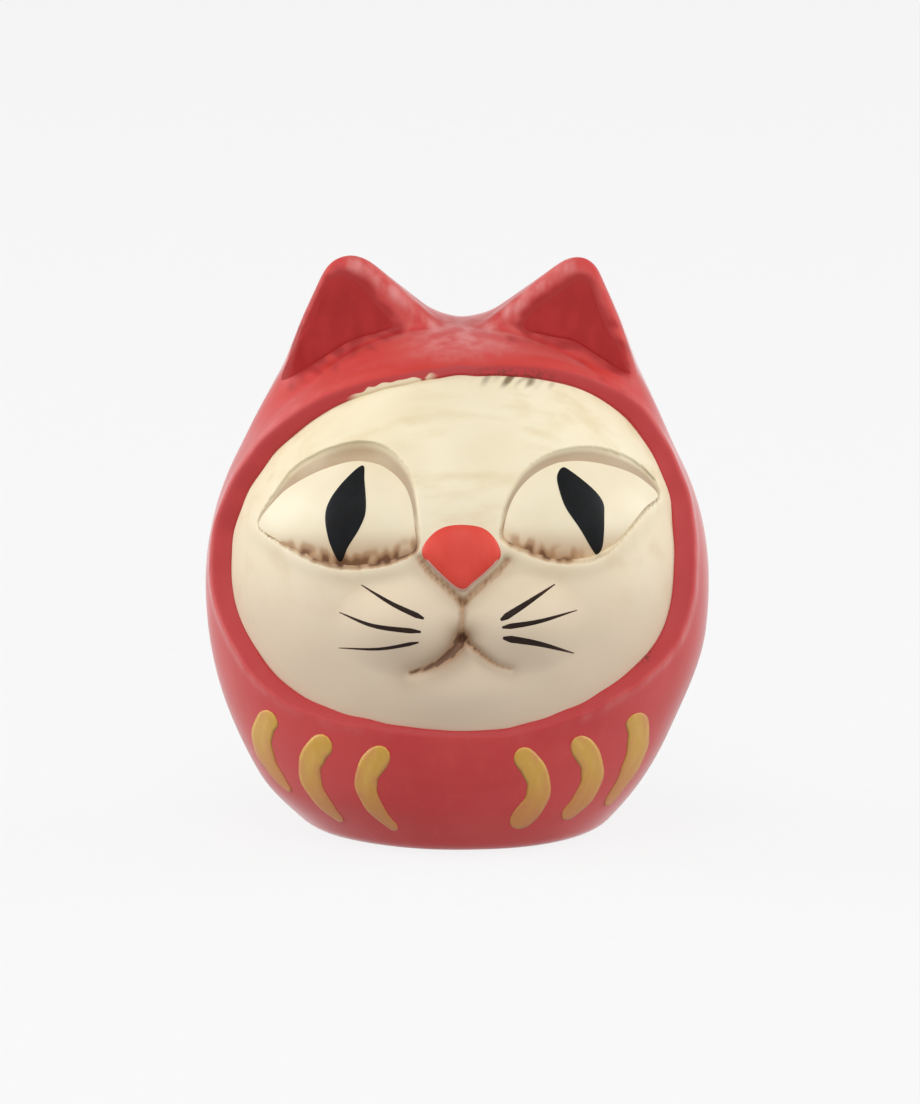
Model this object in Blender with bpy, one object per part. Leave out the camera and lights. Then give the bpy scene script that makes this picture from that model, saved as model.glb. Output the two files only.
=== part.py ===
"""Cat daruma: a weighted paper doll with a hooded egg body, ears, a set-in face and raised marks.

Metres, +Z up, the face looks towards -Y, +X is the viewer's right.  The base disc rests on z = 0.
Every form comes from one egg (two half ellipsoids) grown or shrunk by a named amount, so the gaps
between neighbouring pieces follow from the same numbers.
"""
import math

import bmesh
import bpy
from mathutils import Matrix, Vector

for old in list(bpy.data.objects):
    bpy.data.objects.remove(old, do_unlink=True)

# Egg body
HALF_WIDTH = 0.0347
HALF_DEPTH = 0.0312
CROWN_RISE = 0.0366
BELLY_DROP = 0.0435
FOOT_CUT = 0.0092
FOOT_HEIGHT = 0.0003
EGG_SEGMENTS = 44
EGG_RINGS = 22
WAIST_HEIGHT = BELLY_DROP - FOOT_CUT + FOOT_HEIGHT

# Assembly
GAP = 0.0003
WALL = 0.0032
FOOT_ROUND = 0.0016
FLOOR_TOP = 0.0031
FLOOR_HOLE_RADIUS = 0.008
COVER_MARGIN = 0.0035
COVER_RADIUS = HALF_DEPTH * math.sqrt(1.0 - (1.0 - FOOT_CUT / BELLY_DROP) ** 2) - COVER_MARGIN
COVER_THICKNESS = 0.0010
COVER_ROUND = 0.0002
WEIGHT_TOP = 0.0120
STRIP_HALF_WIDTH = 0.0040
STRIP_THICKNESS = 0.0006

# Ears: a hull round four balls on each side, each given by across, back and rise over the crown
EAR_TIP = (0.0157, 0.0000, 0.00986)
EAR_TIP_BALL = 0.0028
EAR_OUTER = (0.0224, 0.0000, -0.00355)
EAR_INNER = (0.0063, 0.0000, -0.00239)
EAR_FOOT_BALL = 0.0042
EAR_BACK = (0.0150, 0.0050, -0.00508)
EAR_BACK_BALL = 0.0052

# Dark skins of the ears: corners as across and up steps from the balls
LINING_TIP_STEP = (-0.0002, -0.0006)
LINING_INNER_STEP = (0.0019, 0.0016)
LINING_OUTER_STEP = (0.0002, 0.0026)
LINING_CORNER = 0.0010

# Drawing plane of the face: it leans back, and (u, v) are its across and up distances
LEAN = math.radians(10.0)
FACE_MIDDLE = -0.0007
FACE_OVER_WAIST = 0.0034
FACE_SIDE_BORDER = 0.0044
FACE_TOP_BORDER = 0.0085
FACE_LOW_BORDER = 0.0141
FACE_SQUARE_UP_LEFT = 1.95
FACE_SQUARE_UP_RIGHT = 2.7
FACE_SQUARE_DOWN = 2.3
FACE_SET_BACK = 0.0008
FACE_RIM_DEPTH = 0.0018
LEDGE_WIDTH = 0.0024
SPLIT_SPACE = 0.0011
FACE_LEVEL = WAIST_HEIGHT + FACE_OVER_WAIST
FACE_HALF_WIDTH = HALF_WIDTH - FACE_SIDE_BORDER
FACE_TOP = (WAIST_HEIGHT + CROWN_RISE) * math.cos(LEAN) - FACE_TOP_BORDER
FACE_UP = FACE_TOP - FACE_LEVEL
FACE_DOWN = FACE_LEVEL - FACE_LOW_BORDER
OPENING_ROOT = (FACE_TOP * math.sin(LEAN) + SPLIT_SPACE) / math.cos(LEAN)

# Nose, then muzzle and chin in shares of the opening: across of its half width, down of its lower half
NOSE_SHARE = (0.020, -0.021)
NOSE_HALF_WIDTH = 0.0052
NOSE_SQUARENESS = 2.1
NOSE_TAPER = 0.35
NOSE_STEPS = 32
NOSE_UP = 0.0041
NOSE_DOWN = 0.0048
NOSE_RADII = (0.0072, 0.0050, 0.0068)
NOSE_REACH = 0.0031
CHEEK_PAD_SHARE = (0.290, -0.389)
CHEEK_PAD_SIZE = (0.356, 0.368)
CHEEK_PAD_DEPTH = 0.0062
CHEEK_PAD_RISE = 0.0017
CHIN_PAD_SHARE = (0.013, -0.774)
CHIN_PAD_SIZE = (0.264, 0.218)
CHIN_PAD_DEPTH = 0.0050
CHIN_PAD_RISE = 0.0010

# Eyes: they fill the width between nose and opening, and shares of the opening's upper half
EYE_NOSE_SPACE = 0.0001
EYE_SIDE_SPACE = 0.0040
EYE_RAISE_SHARE = 0.199
EYE_UP_SHARE = 0.297
EYE_DOWN_SHARE = 0.271
EYE_SQUARENESS = 1.85
EYE_STEPS = 40
EYE_DOME_SPREAD = (0.0065, 0.0060)
EYE_DOME_DEPTH = 0.0130
EYE_RISE = 0.0012
SOCKET_DEPTH = 0.0024
EYE_INNER = NOSE_HALF_WIDTH + EYE_NOSE_SPACE
EYE_OUTER = FACE_HALF_WIDTH - EYE_SIDE_SPACE
EYE_HALF_WIDTH = (EYE_OUTER - EYE_INNER) / 2.0
EYE_UP = EYE_UP_SHARE * FACE_UP
EYE_DOWN = EYE_DOWN_SHARE * FACE_UP
EYE_CENTRE = ((EYE_OUTER + EYE_INNER) / 2.0, FACE_LEVEL + EYE_RAISE_SHARE * FACE_UP)
CREASE_OFFSET = 0.0021
CREASE_WIDTH = 0.0009
CREASE_END = 0.08
CREASE_FROM = math.radians(20.0)
CREASE_TO = math.radians(165.0)
PUPIL_STEP = (0.0002, 0.0003)
PUPIL_HALF_WIDTH = 0.0023
PUPIL_LID_SPACE = 0.0004
PUPIL_SHEAR = 0.38
PUPIL_POINT = 1.35
PUPIL_ROOT_SHARE = 1.5
PUPIL_ROOT = OPENING_ROOT * PUPIL_ROOT_SHARE
PUPIL_HALF_HEIGHT = EYE_DOWN - PUPIL_LID_SPACE

# Grooves and raised marks, their places in shares of the opening as above
GROOVE_DEPTH = 0.0005
MARK_THICKNESS = 0.0005
MOUTH_TOP_SHARE = (0.020, -0.293)
MOUTH_FORK_SHARE = (0.023, -0.494)
MOUTH_CORNER_SHARE = (0.211, -0.669)
MOUTH_SAG = 0.0010
MOUTH_HALF_WIDTH = 0.0005
MOUTH_TAPER = 0.6
MOUTH_FORK_DEPTH = 1.4
WHISKER_ROOT_SHARES = ((0.172, -0.372), (0.182, -0.439), (0.185, -0.502))
WHISKER_TIP_SHARES = ((0.429, -0.188), (0.525, -0.343), (0.515, -0.556))
STROKE_END_CUT = 0.45
STROKE_END_POWER = 8
WHISKER_HALF_WIDTH = 0.00045
WHISKER_SAG = 0.0005
STRIPE_ACROSS_SHARES = (0.310, 0.571, 0.825)
STRIPE_DROPS = (0.0032, 0.0049, 0.0074)
STRIPE_RUN = (0.0013, 0.0116)
STRIPE_BOW = 0.0042
STRIPE_HALF_WIDTH = 0.0015
STRIPE_THICKNESS = 0.0006
STRIPE_ROOT = 0.0045

# Reach of cutters beyond the doll
REACH = 0.060
TINY = 0.00001

ACROSS = Vector((1.0, 0.0, 0.0))
UPWARD = Vector((0.0, math.sin(LEAN), math.cos(LEAN)))
TOWARDS = Vector((0.0, -math.cos(LEAN), math.sin(LEAN)))


def make_object(name, bm):
    """Turn an edit mesh into an object whose faces look outwards."""
    bmesh.ops.remove_doubles(bm, verts=bm.verts, dist=TINY / 10.0)
    bmesh.ops.recalc_face_normals(bm, faces=bm.faces)
    mesh = bpy.data.meshes.new(name)
    bm.to_mesh(mesh)
    bm.free()
    obj = bpy.data.objects.new(name, mesh)
    bpy.context.scene.collection.objects.link(obj)
    return obj


def combine(target, operation, *others):
    """Run exact booleans between one object and others, then remove the others."""
    for other in others:
        change = target.modifiers.new("combine", "BOOLEAN")
        change.operation = operation
        change.solver = "EXACT"
        change.object = other
        bpy.context.view_layer.objects.active = target
        bpy.ops.object.modifier_apply(modifier=change.name)
        bpy.data.objects.remove(other, do_unlink=True)
    return target


def cut(target, *others):
    """Take other bodies away from the target."""
    return combine(target, "DIFFERENCE", *others)


def join(target, *others):
    """Fuse other bodies into the target."""
    return combine(target, "UNION", *others)


def keep(target, *others):
    """Keep only what the target shares with the other bodies."""
    return combine(target, "INTERSECT", *others)


def egg(grow, floor=None, rounding=0.0):
    """The egg body grown by an amount, with an optional flat floor and rounded foot edge."""
    bm = bmesh.new()
    bmesh.ops.create_uvsphere(bm, u_segments=EGG_SEGMENTS, v_segments=EGG_RINGS, radius=1.0)
    for vert in bm.verts:
        rise = (CROWN_RISE if vert.co.z > 0.0 else BELLY_DROP) + grow
        vert.co.x *= HALF_WIDTH + grow
        vert.co.y *= HALF_DEPTH + grow
        vert.co.z = WAIST_HEIGHT + vert.co.z * rise
    if floor is not None:
        everything = bm.verts[:] + bm.edges[:] + bm.faces[:]
        plane = bmesh.ops.bisect_plane(bm, geom=everything, plane_co=(0.0, 0.0, floor),
                                       plane_no=(0.0, 0.0, -1.0), clear_outer=True)
        rim = [item for item in plane["geom_cut"] if isinstance(item, bmesh.types.BMEdge)]
        bmesh.ops.edgeloop_fill(bm, edges=rim)
        if rounding > 0.0:
            bmesh.ops.bevel(bm, geom=rim, offset=rounding, segments=3, profile=0.5,
                            affect="EDGES", clamp_overlap=True)
    return make_object("egg", bm)


def ball(bm, centre, radius):
    """Add a small ball of points for a hull."""
    place = Matrix.Translation(centre)
    bmesh.ops.create_uvsphere(bm, u_segments=16, v_segments=10, radius=radius, matrix=place)


def over_crown(across, back, rise):
    """Point at a rise over the egg's upper surface."""
    share = 1.0 - (across / HALF_WIDTH) ** 2 - (back / HALF_DEPTH) ** 2
    return Vector((across, back, WAIST_HEIGHT + CROWN_RISE * math.sqrt(share) + rise))


def ear(side, grow):
    """One ear: the hull round a tip ball, two foot balls and a back ball."""
    bm = bmesh.new()
    for spot, radius in ((EAR_TIP, EAR_TIP_BALL), (EAR_OUTER, EAR_FOOT_BALL),
                         (EAR_INNER, EAR_FOOT_BALL), (EAR_BACK, EAR_BACK_BALL)):
        centre = over_crown(*spot)
        centre.x *= side
        ball(bm, centre, radius + grow)
    bmesh.ops.delete(bm, geom=bm.edges[:], context="EDGES_FACES")
    hull = bmesh.ops.convex_hull(bm, input=bm.verts[:])
    loose = [item for item in hull["geom_interior"] if isinstance(item, bmesh.types.BMVert)]
    bmesh.ops.delete(bm, geom=loose, context="VERTS")
    return make_object("ear", bm)


def on_egg(spot, grow=0.0):
    """Point and outward normal where the drawing-plane spot (u, v) meets the egg."""
    flat = ACROSS * spot[0] + UPWARD * spot[1]
    radii = Vector((HALF_WIDTH + grow, HALF_DEPTH + grow, CROWN_RISE + grow))
    for _ in range(2):
        base = Vector((flat.x / radii.x, flat.y / radii.y, (flat.z - WAIST_HEIGHT) / radii.z))
        step = Vector((0.0, TOWARDS.y / radii.y, TOWARDS.z / radii.z))
        half_b = base.dot(step)
        root = math.sqrt(half_b ** 2 - step.dot(step) * (base.dot(base) - 1.0))
        point = flat + TOWARDS * ((root - half_b) / step.dot(step))
        if point.z >= WAIST_HEIGHT:
            break
        radii.z = BELLY_DROP + grow
    normal = Vector((point.x / radii.x ** 2, point.y / radii.y ** 2,
                     (point.z - WAIST_HEIGHT) / radii.z ** 2))
    return point, normal.normalized()


def dome(spot, radii, rise, grow=0.0, surface=0.0):
    """A stretched ball that bulges from the egg at (u, v) by the given rise."""
    point, normal = on_egg(spot, surface)
    facing = normal.to_track_quat("Y", "Z").to_matrix().to_4x4()
    centre = point - normal * (radii[1] - rise)
    size = Matrix.Diagonal((radii[0] + grow, radii[1] + grow, radii[2] + grow, 1.0))
    bm = bmesh.new()
    place = Matrix.Translation(centre) @ facing @ size
    bmesh.ops.create_uvsphere(bm, u_segments=24, v_segments=14, radius=1.0, matrix=place)
    return make_object("dome", bm)


def prism(outline, near=0.0, far=REACH):
    """Extrude a drawing-plane outline towards the viewer."""
    bm = bmesh.new()
    corners = [bm.verts.new(ACROSS * u + UPWARD * v + TOWARDS * near) for u, v in outline]
    face = bm.faces.new(corners)
    pulled = bmesh.ops.extrude_face_region(bm, geom=[face])
    moved = [item for item in pulled["geom"] if isinstance(item, bmesh.types.BMVert)]
    bmesh.ops.translate(bm, verts=moved, vec=TOWARDS * (far - near))
    return make_object("prism", bm)


def block(low, high):
    """A box between two corners."""
    bm = bmesh.new()
    size = [b - a for a, b in zip(low, high)]
    middle = [(a + b) / 2.0 for a, b in zip(low, high)]
    place = Matrix.Translation(middle) @ Matrix.Diagonal((*size, 1.0))
    bmesh.ops.create_cube(bm, size=1.0, matrix=place)
    return make_object("block", bm)


def disc(radius, low, high, rounding=0.0):
    """An upright round plate, its rims bevelled when a rounding is given."""
    bm = bmesh.new()
    place = Matrix.Translation((0.0, 0.0, (low + high) / 2.0))
    bmesh.ops.create_cone(bm, cap_ends=True, segments=EGG_SEGMENTS, radius1=radius,
                          radius2=radius, depth=high - low, matrix=place)
    if rounding > 0.0:
        rims = [edge for edge in bm.edges if abs(edge.verts[0].co.z - edge.verts[1].co.z) < TINY]
        bmesh.ops.bevel(bm, geom=rims, offset=rounding, segments=1, profile=0.5, affect="EDGES")
    return make_object("disc", bm)


def oval(centre, half_width, up, down, squareness, grow=0.0, steps=56):
    """Outline with |cos|^(2/p), |sin|^(2/p) sides; squareness gives p for an angle."""
    points = []
    for index in range(steps):
        angle = 2.0 * math.pi * (index + 0.5) / steps
        power = 2.0 / squareness(angle)
        across = math.copysign(abs(math.cos(angle)) ** power, math.cos(angle))
        rise = math.copysign(abs(math.sin(angle)) ** power, math.sin(angle))
        tall = (up if rise > 0.0 else down) + grow
        points.append((centre[0] + (half_width + grow) * across, centre[1] + tall * rise))
    return points


def face_squareness(angle):
    """Squareness of the hood opening in each quarter."""
    if math.sin(angle) < 0.0:
        return FACE_SQUARE_DOWN
    return FACE_SQUARE_UP_RIGHT if math.cos(angle) > 0.0 else FACE_SQUARE_UP_LEFT


def face_outline(grow):
    """Hood opening grown by an amount."""
    centre = (FACE_MIDDLE, FACE_LEVEL)
    return oval(centre, FACE_HALF_WIDTH, FACE_UP, FACE_DOWN, face_squareness, grow, 72)


def face_low(across):
    """Height of the opening's lower edge at a distance across."""
    share = 1.0 - (across / FACE_HALF_WIDTH) ** FACE_SQUARE_DOWN
    return FACE_LEVEL - FACE_DOWN * share ** (1.0 / FACE_SQUARE_DOWN)


def on_face(share, side=1):
    """Drawing-plane spot for shares of the opening's half width and lower half."""
    return side * share[0] * FACE_HALF_WIDTH, FACE_LEVEL + share[1] * FACE_DOWN


def eye_outline(side, grow):
    """Almond round one eye."""
    return oval((side * EYE_CENTRE[0], EYE_CENTRE[1]), EYE_HALF_WIDTH, EYE_UP, EYE_DOWN,
                lambda angle: EYE_SQUARENESS, grow, EYE_STEPS)


def nose_outline():
    """Rounded triangle, broad above and narrow below."""
    points = []
    centre = on_face(NOSE_SHARE)
    for u, v in oval(centre, NOSE_HALF_WIDTH, NOSE_UP, NOSE_DOWN, lambda angle: NOSE_SQUARENESS, 0.0, NOSE_STEPS):
        below = max(0.0, (centre[1] - v) / NOSE_DOWN)
        points.append((centre[0] + (u - centre[0]) * (1.0 - NOSE_TAPER * below), v))
    return points


def pupil_outline(side):
    """Upright leaf, pointed above and below, sheared to one side."""
    points = []
    steps = 12
    for index in range(2 * steps):
        angle = math.pi * index / steps
        high = math.cos(angle)
        wide = math.copysign(abs(math.sin(angle)) ** PUPIL_POINT, math.sin(angle))
        tall = PUPIL_HALF_HEIGHT * high
        u = side * (EYE_CENTRE[0] + PUPIL_STEP[0] - PUPIL_SHEAR * tall) + PUPIL_HALF_WIDTH * wide
        points.append((u, EYE_CENTRE[1] + PUPIL_STEP[1] + tall))
    return points


def stroke(start, end, bow, half_start, half_end, steps=9):
    """Outline of a bowed brush stroke whose half width runs from one value to another."""
    start = Vector((start[0], start[1]))
    end = Vector((end[0], end[1]))
    along = (end - start).normalized()
    side = Vector((-along.y, along.x))
    left = []
    right = []
    for index in range(steps + 1):
        t = index / steps
        middle = start.lerp(end, t) + side * (bow * 4.0 * t * (1.0 - t))
        slope = (along + side * (bow * 4.0 * (1.0 - 2.0 * t) / (end - start).length)).normalized()
        across = Vector((-slope.y, slope.x))
        half = half_start + (half_end - half_start) * t
        half *= 1.0 - STROKE_END_CUT * (2.0 * t - 1.0) ** STROKE_END_POWER
        left.append(middle + across * half)
        right.append(middle - across * half)
    return [tuple(p) for p in left + right[::-1]]


def rounded_corners(corners, radius, steps=5):
    """Outline that swings an arc of the given radius round each corner point, anticlockwise."""
    points = []
    count = len(corners)
    for index, corner in enumerate(corners):
        here = Vector(corner)
        back = (here - Vector(corners[index - 1])).normalized()
        ahead = (Vector(corners[(index + 1) % count]) - here).normalized()
        first = math.atan2(-back.x, back.y)
        turn = math.atan2(back.x * ahead.y - back.y * ahead.x, back.dot(ahead))
        for step in range(steps + 1):
            angle = first + turn * step / steps
            points.append((here.x + radius * math.cos(angle), here.y + radius * math.sin(angle)))
    return points


def twin(obj):
    """A separate copy of an object."""
    copy = obj.copy()
    copy.data = obj.data.copy()
    bpy.context.scene.collection.objects.link(copy)
    return copy


def crease_outline(side):
    """Thin band that follows the upper lid, a little above the eye."""
    inner = []
    outer = []
    steps = 22
    for index in range(steps + 1):
        t = index / steps
        angle = CREASE_FROM + (CREASE_TO - CREASE_FROM) * t
        half = CREASE_WIDTH / 2.0 * math.sin(math.pi * (CREASE_END + (1.0 - 2.0 * CREASE_END) * t))
        for line, shift in ((inner, -half), (outer, half)):
            away = CREASE_OFFSET + shift
            u = EYE_CENTRE[0] - (EYE_HALF_WIDTH + away) * math.cos(angle)
            line.append((side * u, EYE_CENTRE[1] + (EYE_UP + away) * math.sin(angle)))
    return inner + outer[::-1]


def mouth_outline():
    """Upside-down Y: a short line under the nose that forks into two curling corners."""
    top = on_face(MOUTH_TOP_SHARE)
    above = [(top[0] + MOUTH_HALF_WIDTH, top[1]), (top[0] - MOUTH_HALF_WIDTH, top[1])]
    return above + mouth_branch(-1) + mouth_branch(1)


def mouth_branch(side):
    """One arm of the mouth as a bowed stroke, listed so that the arms join at the fork."""
    start = Vector(on_face(MOUTH_FORK_SHARE))
    corner = on_face(MOUTH_CORNER_SHARE, side)
    end = Vector((start.x + corner[0], corner[1]))
    along = (end - start).normalized()
    down = Vector((along.y, -along.x)) * side
    upper = []
    lower = []
    steps = 7
    for index in range(steps + 1):
        t = index / steps
        middle = start.lerp(end, t) + down * (MOUTH_SAG * 4.0 * t * (1.0 - t))
        half = MOUTH_HALF_WIDTH * (1.0 - MOUTH_TAPER * t)
        upper.append(tuple(middle - down * half))
        lower.append(tuple(middle + down * half))
    fork_low = (start.x, start.y - MOUTH_HALF_WIDTH * MOUTH_FORK_DEPTH)
    if side < 0:
        return [(start.x - MOUTH_HALF_WIDTH, start.y)] + upper[1:] + lower[:0:-1] + [fork_low]
    return lower[1:] + upper[:0:-1] + [(start.x + MOUTH_HALF_WIDTH, start.y)]


def ear_prism(side):
    """Rounded triangle in front of one ear, extruded forwards from the ear's middle plane."""
    corners = []
    for spot, step in ((EAR_OUTER, LINING_OUTER_STEP), (EAR_INNER, LINING_INNER_STEP),
                       (EAR_TIP, LINING_TIP_STEP)):
        centre = over_crown(*spot)
        corners.append((side * (centre.x + step[0]), centre.z + step[1]))
    if side > 0:
        corners = corners[::-1]
    bm = bmesh.new()
    outline = [bm.verts.new((x, -GAP, z)) for x, z in rounded_corners(corners, LINING_CORNER)]
    face = bm.faces.new(outline)
    pulled = bmesh.ops.extrude_face_region(bm, geom=[face])
    moved = [item for item in pulled["geom"] if isinstance(item, bmesh.types.BMVert)]
    bmesh.ops.translate(bm, verts=moved, vec=(0.0, -REACH, 0.0))
    return make_object("prism", bm)


def pad(share, size, depth, rise, grow, side=1):
    """A padded swelling of the face: place, then width and height in shares of the opening."""
    radii = (size[0] * FACE_HALF_WIDTH, depth, size[1] * FACE_DOWN)
    return dome(on_face(share, side), radii, rise, grow, -FACE_SET_BACK)


def muzzle(grow):
    """Face surface: the egg set back, with two whisker pads and a chin pad."""
    form = egg(grow - FACE_SET_BACK)
    for side in (-1, 1):
        join(form, pad(CHEEK_PAD_SHARE, CHEEK_PAD_SIZE, CHEEK_PAD_DEPTH, CHEEK_PAD_RISE, grow, side))
    return join(form, pad(CHIN_PAD_SHARE, CHIN_PAD_SIZE, CHIN_PAD_DEPTH, CHIN_PAD_RISE, grow))


def eyeball(side, grow):
    """Domed surface of one eye."""
    radii = (EYE_HALF_WIDTH + EYE_DOME_SPREAD[0], EYE_DOME_DEPTH, EYE_UP + EYE_DOME_SPREAD[1])
    return dome((side * EYE_CENTRE[0], EYE_CENTRE[1]), radii, EYE_RISE, grow, -FACE_SET_BACK)


def finish(obj, name, colour, roughness):
    """Name a piece and give it its paint."""
    obj.name = name
    obj.data.name = name
    paint = bpy.data.materials.new(name + "_finish")
    paint.use_nodes = True
    shader = paint.node_tree.nodes["Principled BSDF"]
    shader.inputs["Base Color"].default_value = (*colour, 1.0)
    shader.inputs["Roughness"].default_value = roughness
    obj.data.materials.clear()
    obj.data.materials.append(paint)
    return obj


def centre_doll():
    """Slide every piece so that the nose and the back lie equally far from the middle."""
    pieces = [obj for obj in bpy.data.objects if obj.type == "MESH"]
    reach = [vert.co.y for obj in pieces for vert in obj.data.vertices]
    slide = Matrix.Translation((0.0, -(min(reach) + max(reach)) / 2.0, 0.0))
    for obj in pieces:
        obj.data.transform(slide)


RED = (0.45, 0.06, 0.05)
DARK_RED = (0.30, 0.03, 0.03)
CREAM = (0.78, 0.68, 0.50)
EYE_WHITE = (0.83, 0.75, 0.58)
BLACK = (0.010, 0.010, 0.013)
BROWN = (0.030, 0.016, 0.012)
NOSE_RED = (0.62, 0.09, 0.06)
GOLD = (0.52, 0.30, 0.08)
PAPER = (0.62, 0.55, 0.43)
CLAY = (0.24, 0.17, 0.12)
SIDES = ((-1, "left"), (1, "right"))

# Body shell with cavity, floor hole and foot recess
shell = join(egg(0.0, FOOT_HEIGHT, FOOT_ROUND), ear(-1, 0.0), ear(1, 0.0))
cut(shell, egg(-WALL, FLOOR_TOP))
cut(shell, disc(COVER_RADIUS + GAP, -COVER_THICKNESS, COVER_THICKNESS + GAP))
cut(shell, disc(FLOOR_HOLE_RADIUS, -COVER_THICKNESS, FLOOR_TOP + COVER_THICKNESS))

# Hood opening: a recess for the face rim, and a window inside it that leaves a ledge
ledge_depth = FACE_RIM_DEPTH + GAP
cut(shell, cut(prism(face_outline(GAP), OPENING_ROOT - GAP), egg(-ledge_depth)))
cut(shell, prism(face_outline(-LEDGE_WIDTH), OPENING_ROOT - GAP))

# The shell is moulded in two halves that meet from ear to ear
shell_back = keep(twin(shell), block((-REACH, GAP / 2.0, -REACH), (REACH, REACH, 2.0 * REACH)))
shell_front = keep(shell, block((-REACH, -REACH, -REACH), (REACH, -GAP / 2.0, 2.0 * REACH)))
finish(shell_front, "shell_front", RED, 0.55)
finish(shell_back, "shell_back", RED, 0.55)

# Inside: a paper strip over the joint and a clay weight on the floor
strip = cut(egg(-WALL - GAP, WEIGHT_TOP + GAP), egg(-WALL - GAP - STRIP_THICKNESS))
keep(strip, block((-REACH, -STRIP_HALF_WIDTH, 0.0), (REACH, STRIP_HALF_WIDTH, 2.0 * REACH)))
finish(strip, "seam_strip", PAPER, 0.85)
weight = egg(-WALL - GAP, FLOOR_TOP + GAP)
keep(weight, block((-REACH, -REACH, 0.0), (REACH, REACH, WEIGHT_TOP)))
finish(weight, "base_weight", CLAY, 0.9)
finish(disc(COVER_RADIUS, 0.0, COVER_THICKNESS, COVER_ROUND), "base_cover", PAPER, 0.8)

# Face panel with eye sockets, mouth grooves and lid creases
panel = keep(prism(face_outline(0.0), OPENING_ROOT), muzzle(0.0))
cut(panel, cut(egg(-FACE_RIM_DEPTH), prism(face_outline(-LEDGE_WIDTH - GAP))), egg(-WALL))
for side, _ in SIDES:
    cut(panel, cut(prism(eye_outline(side, GAP)), egg(-SOCKET_DEPTH)))
    cut(panel, cut(prism(crease_outline(side)), muzzle(-GROOVE_DEPTH)))
cut(panel, cut(prism(mouth_outline()), muzzle(-GROOVE_DEPTH)))
finish(panel, "face_panel", CREAM, 0.6)

for side, word in SIDES:
    eye = keep(prism(eye_outline(side, 0.0)), eyeball(side, 0.0))
    finish(cut(eye, egg(GAP - SOCKET_DEPTH)), "eye_" + word, EYE_WHITE, 0.5)
    pupil = keep(prism(pupil_outline(side), PUPIL_ROOT), eyeball(side, GAP + MARK_THICKNESS))
    finish(cut(pupil, eyeball(side, GAP)), "pupil_" + word, BLACK, 0.35)

nose_form = dome(on_face(NOSE_SHARE), NOSE_RADII, NOSE_REACH, 0.0, -FACE_SET_BACK)
nose = keep(prism(nose_outline()), nose_form)
finish(cut(nose, muzzle(GAP)), "nose", NOSE_RED, 0.45)

# Raised brush marks: whiskers on the muzzle and gold stripes under the face
for side, word in SIDES:
    for number, (root, tip) in enumerate(zip(WHISKER_ROOT_SHARES, WHISKER_TIP_SHARES), 1):
        line = stroke(on_face(root, side), on_face(tip, side), side * WHISKER_SAG,
                      WHISKER_HALF_WIDTH, WHISKER_HALF_WIDTH / 2.0)
        mark = cut(keep(prism(line), muzzle(GAP + MARK_THICKNESS)), muzzle(GAP))
        finish(mark, f"whisker_{word}_{number}", BROWN, 0.5)
    for number, (share, drop) in enumerate(zip(STRIPE_ACROSS_SHARES, STRIPE_DROPS), 1):
        across = share * FACE_HALF_WIDTH
        top = (across, face_low(across) - drop)
        foot = (top[0] - STRIPE_RUN[0], top[1] - STRIPE_RUN[1])
        line = stroke((side * top[0], top[1]), (side * foot[0], foot[1]), side * STRIPE_BOW / 2.0,
                      STRIPE_HALF_WIDTH, STRIPE_HALF_WIDTH / 2.0)
        mark = cut(keep(prism(line, STRIPE_ROOT), egg(GAP + STRIPE_THICKNESS)), egg(GAP))
        finish(mark, f"gold_stripe_{word}_{number}", GOLD, 0.4)

# Dark skins on the fronts of the ears
for side, word in SIDES:
    skin = cut(ear(side, GAP + MARK_THICKNESS), ear(side, GAP), egg(GAP))
    front = ear_prism(side)
    finish(keep(skin, front), "ear_front_" + word, DARK_RED, 0.6)

centre_doll()
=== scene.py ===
"""Looks of the cat daruma: painted paper shell, modelled face, brush marks, floor, light and camera.

Shapes are worked out in millimetres.  The face is laid out on a drawing plane that leans back by
LEAN and passes through the middle of the foot: u runs across it and v runs up it.
"""
import math

import bpy
import numpy as np
from mathutils import Matrix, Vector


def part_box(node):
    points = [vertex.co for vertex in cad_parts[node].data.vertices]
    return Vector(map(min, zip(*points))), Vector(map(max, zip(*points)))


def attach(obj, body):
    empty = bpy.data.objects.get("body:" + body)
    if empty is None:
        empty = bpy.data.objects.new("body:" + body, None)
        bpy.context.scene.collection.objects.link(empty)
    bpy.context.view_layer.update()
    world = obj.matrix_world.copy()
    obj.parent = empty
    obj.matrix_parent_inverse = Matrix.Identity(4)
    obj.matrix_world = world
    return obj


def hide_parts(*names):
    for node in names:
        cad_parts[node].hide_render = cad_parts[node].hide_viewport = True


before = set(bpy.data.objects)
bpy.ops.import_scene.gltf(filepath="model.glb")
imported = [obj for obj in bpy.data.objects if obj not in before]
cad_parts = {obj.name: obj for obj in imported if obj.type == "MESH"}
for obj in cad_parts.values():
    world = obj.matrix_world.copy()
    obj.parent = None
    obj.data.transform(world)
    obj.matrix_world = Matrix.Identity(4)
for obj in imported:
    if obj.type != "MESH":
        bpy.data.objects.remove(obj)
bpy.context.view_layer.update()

MM = 0.001

# Sizes taken from the frame
BACK_HIGH = np.array(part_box("shell_back")[1]) / MM
COVER_LOW, COVER_HIGH = [np.array(corner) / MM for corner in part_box("base_cover")]
MIDDLE_Y = (COVER_LOW[1] + COVER_HIGH[1]) / 2.0

# How far the surfaces stay inside the frame's box
INSIDE = 0.16
HALF_WIDTH = BACK_HIGH[0] - INSIDE
HALF_DEPTH = BACK_HIGH[1] - MIDDLE_Y - INSIDE

# Egg: waist height, rise and drop from it, foot plane and its rounding
WAIST = 34.6
CROWN_RISE = 36.2
BELLY_DROP = 43.5
FOOT = 0.3
FOOT_ROUND = 1.6

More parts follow.
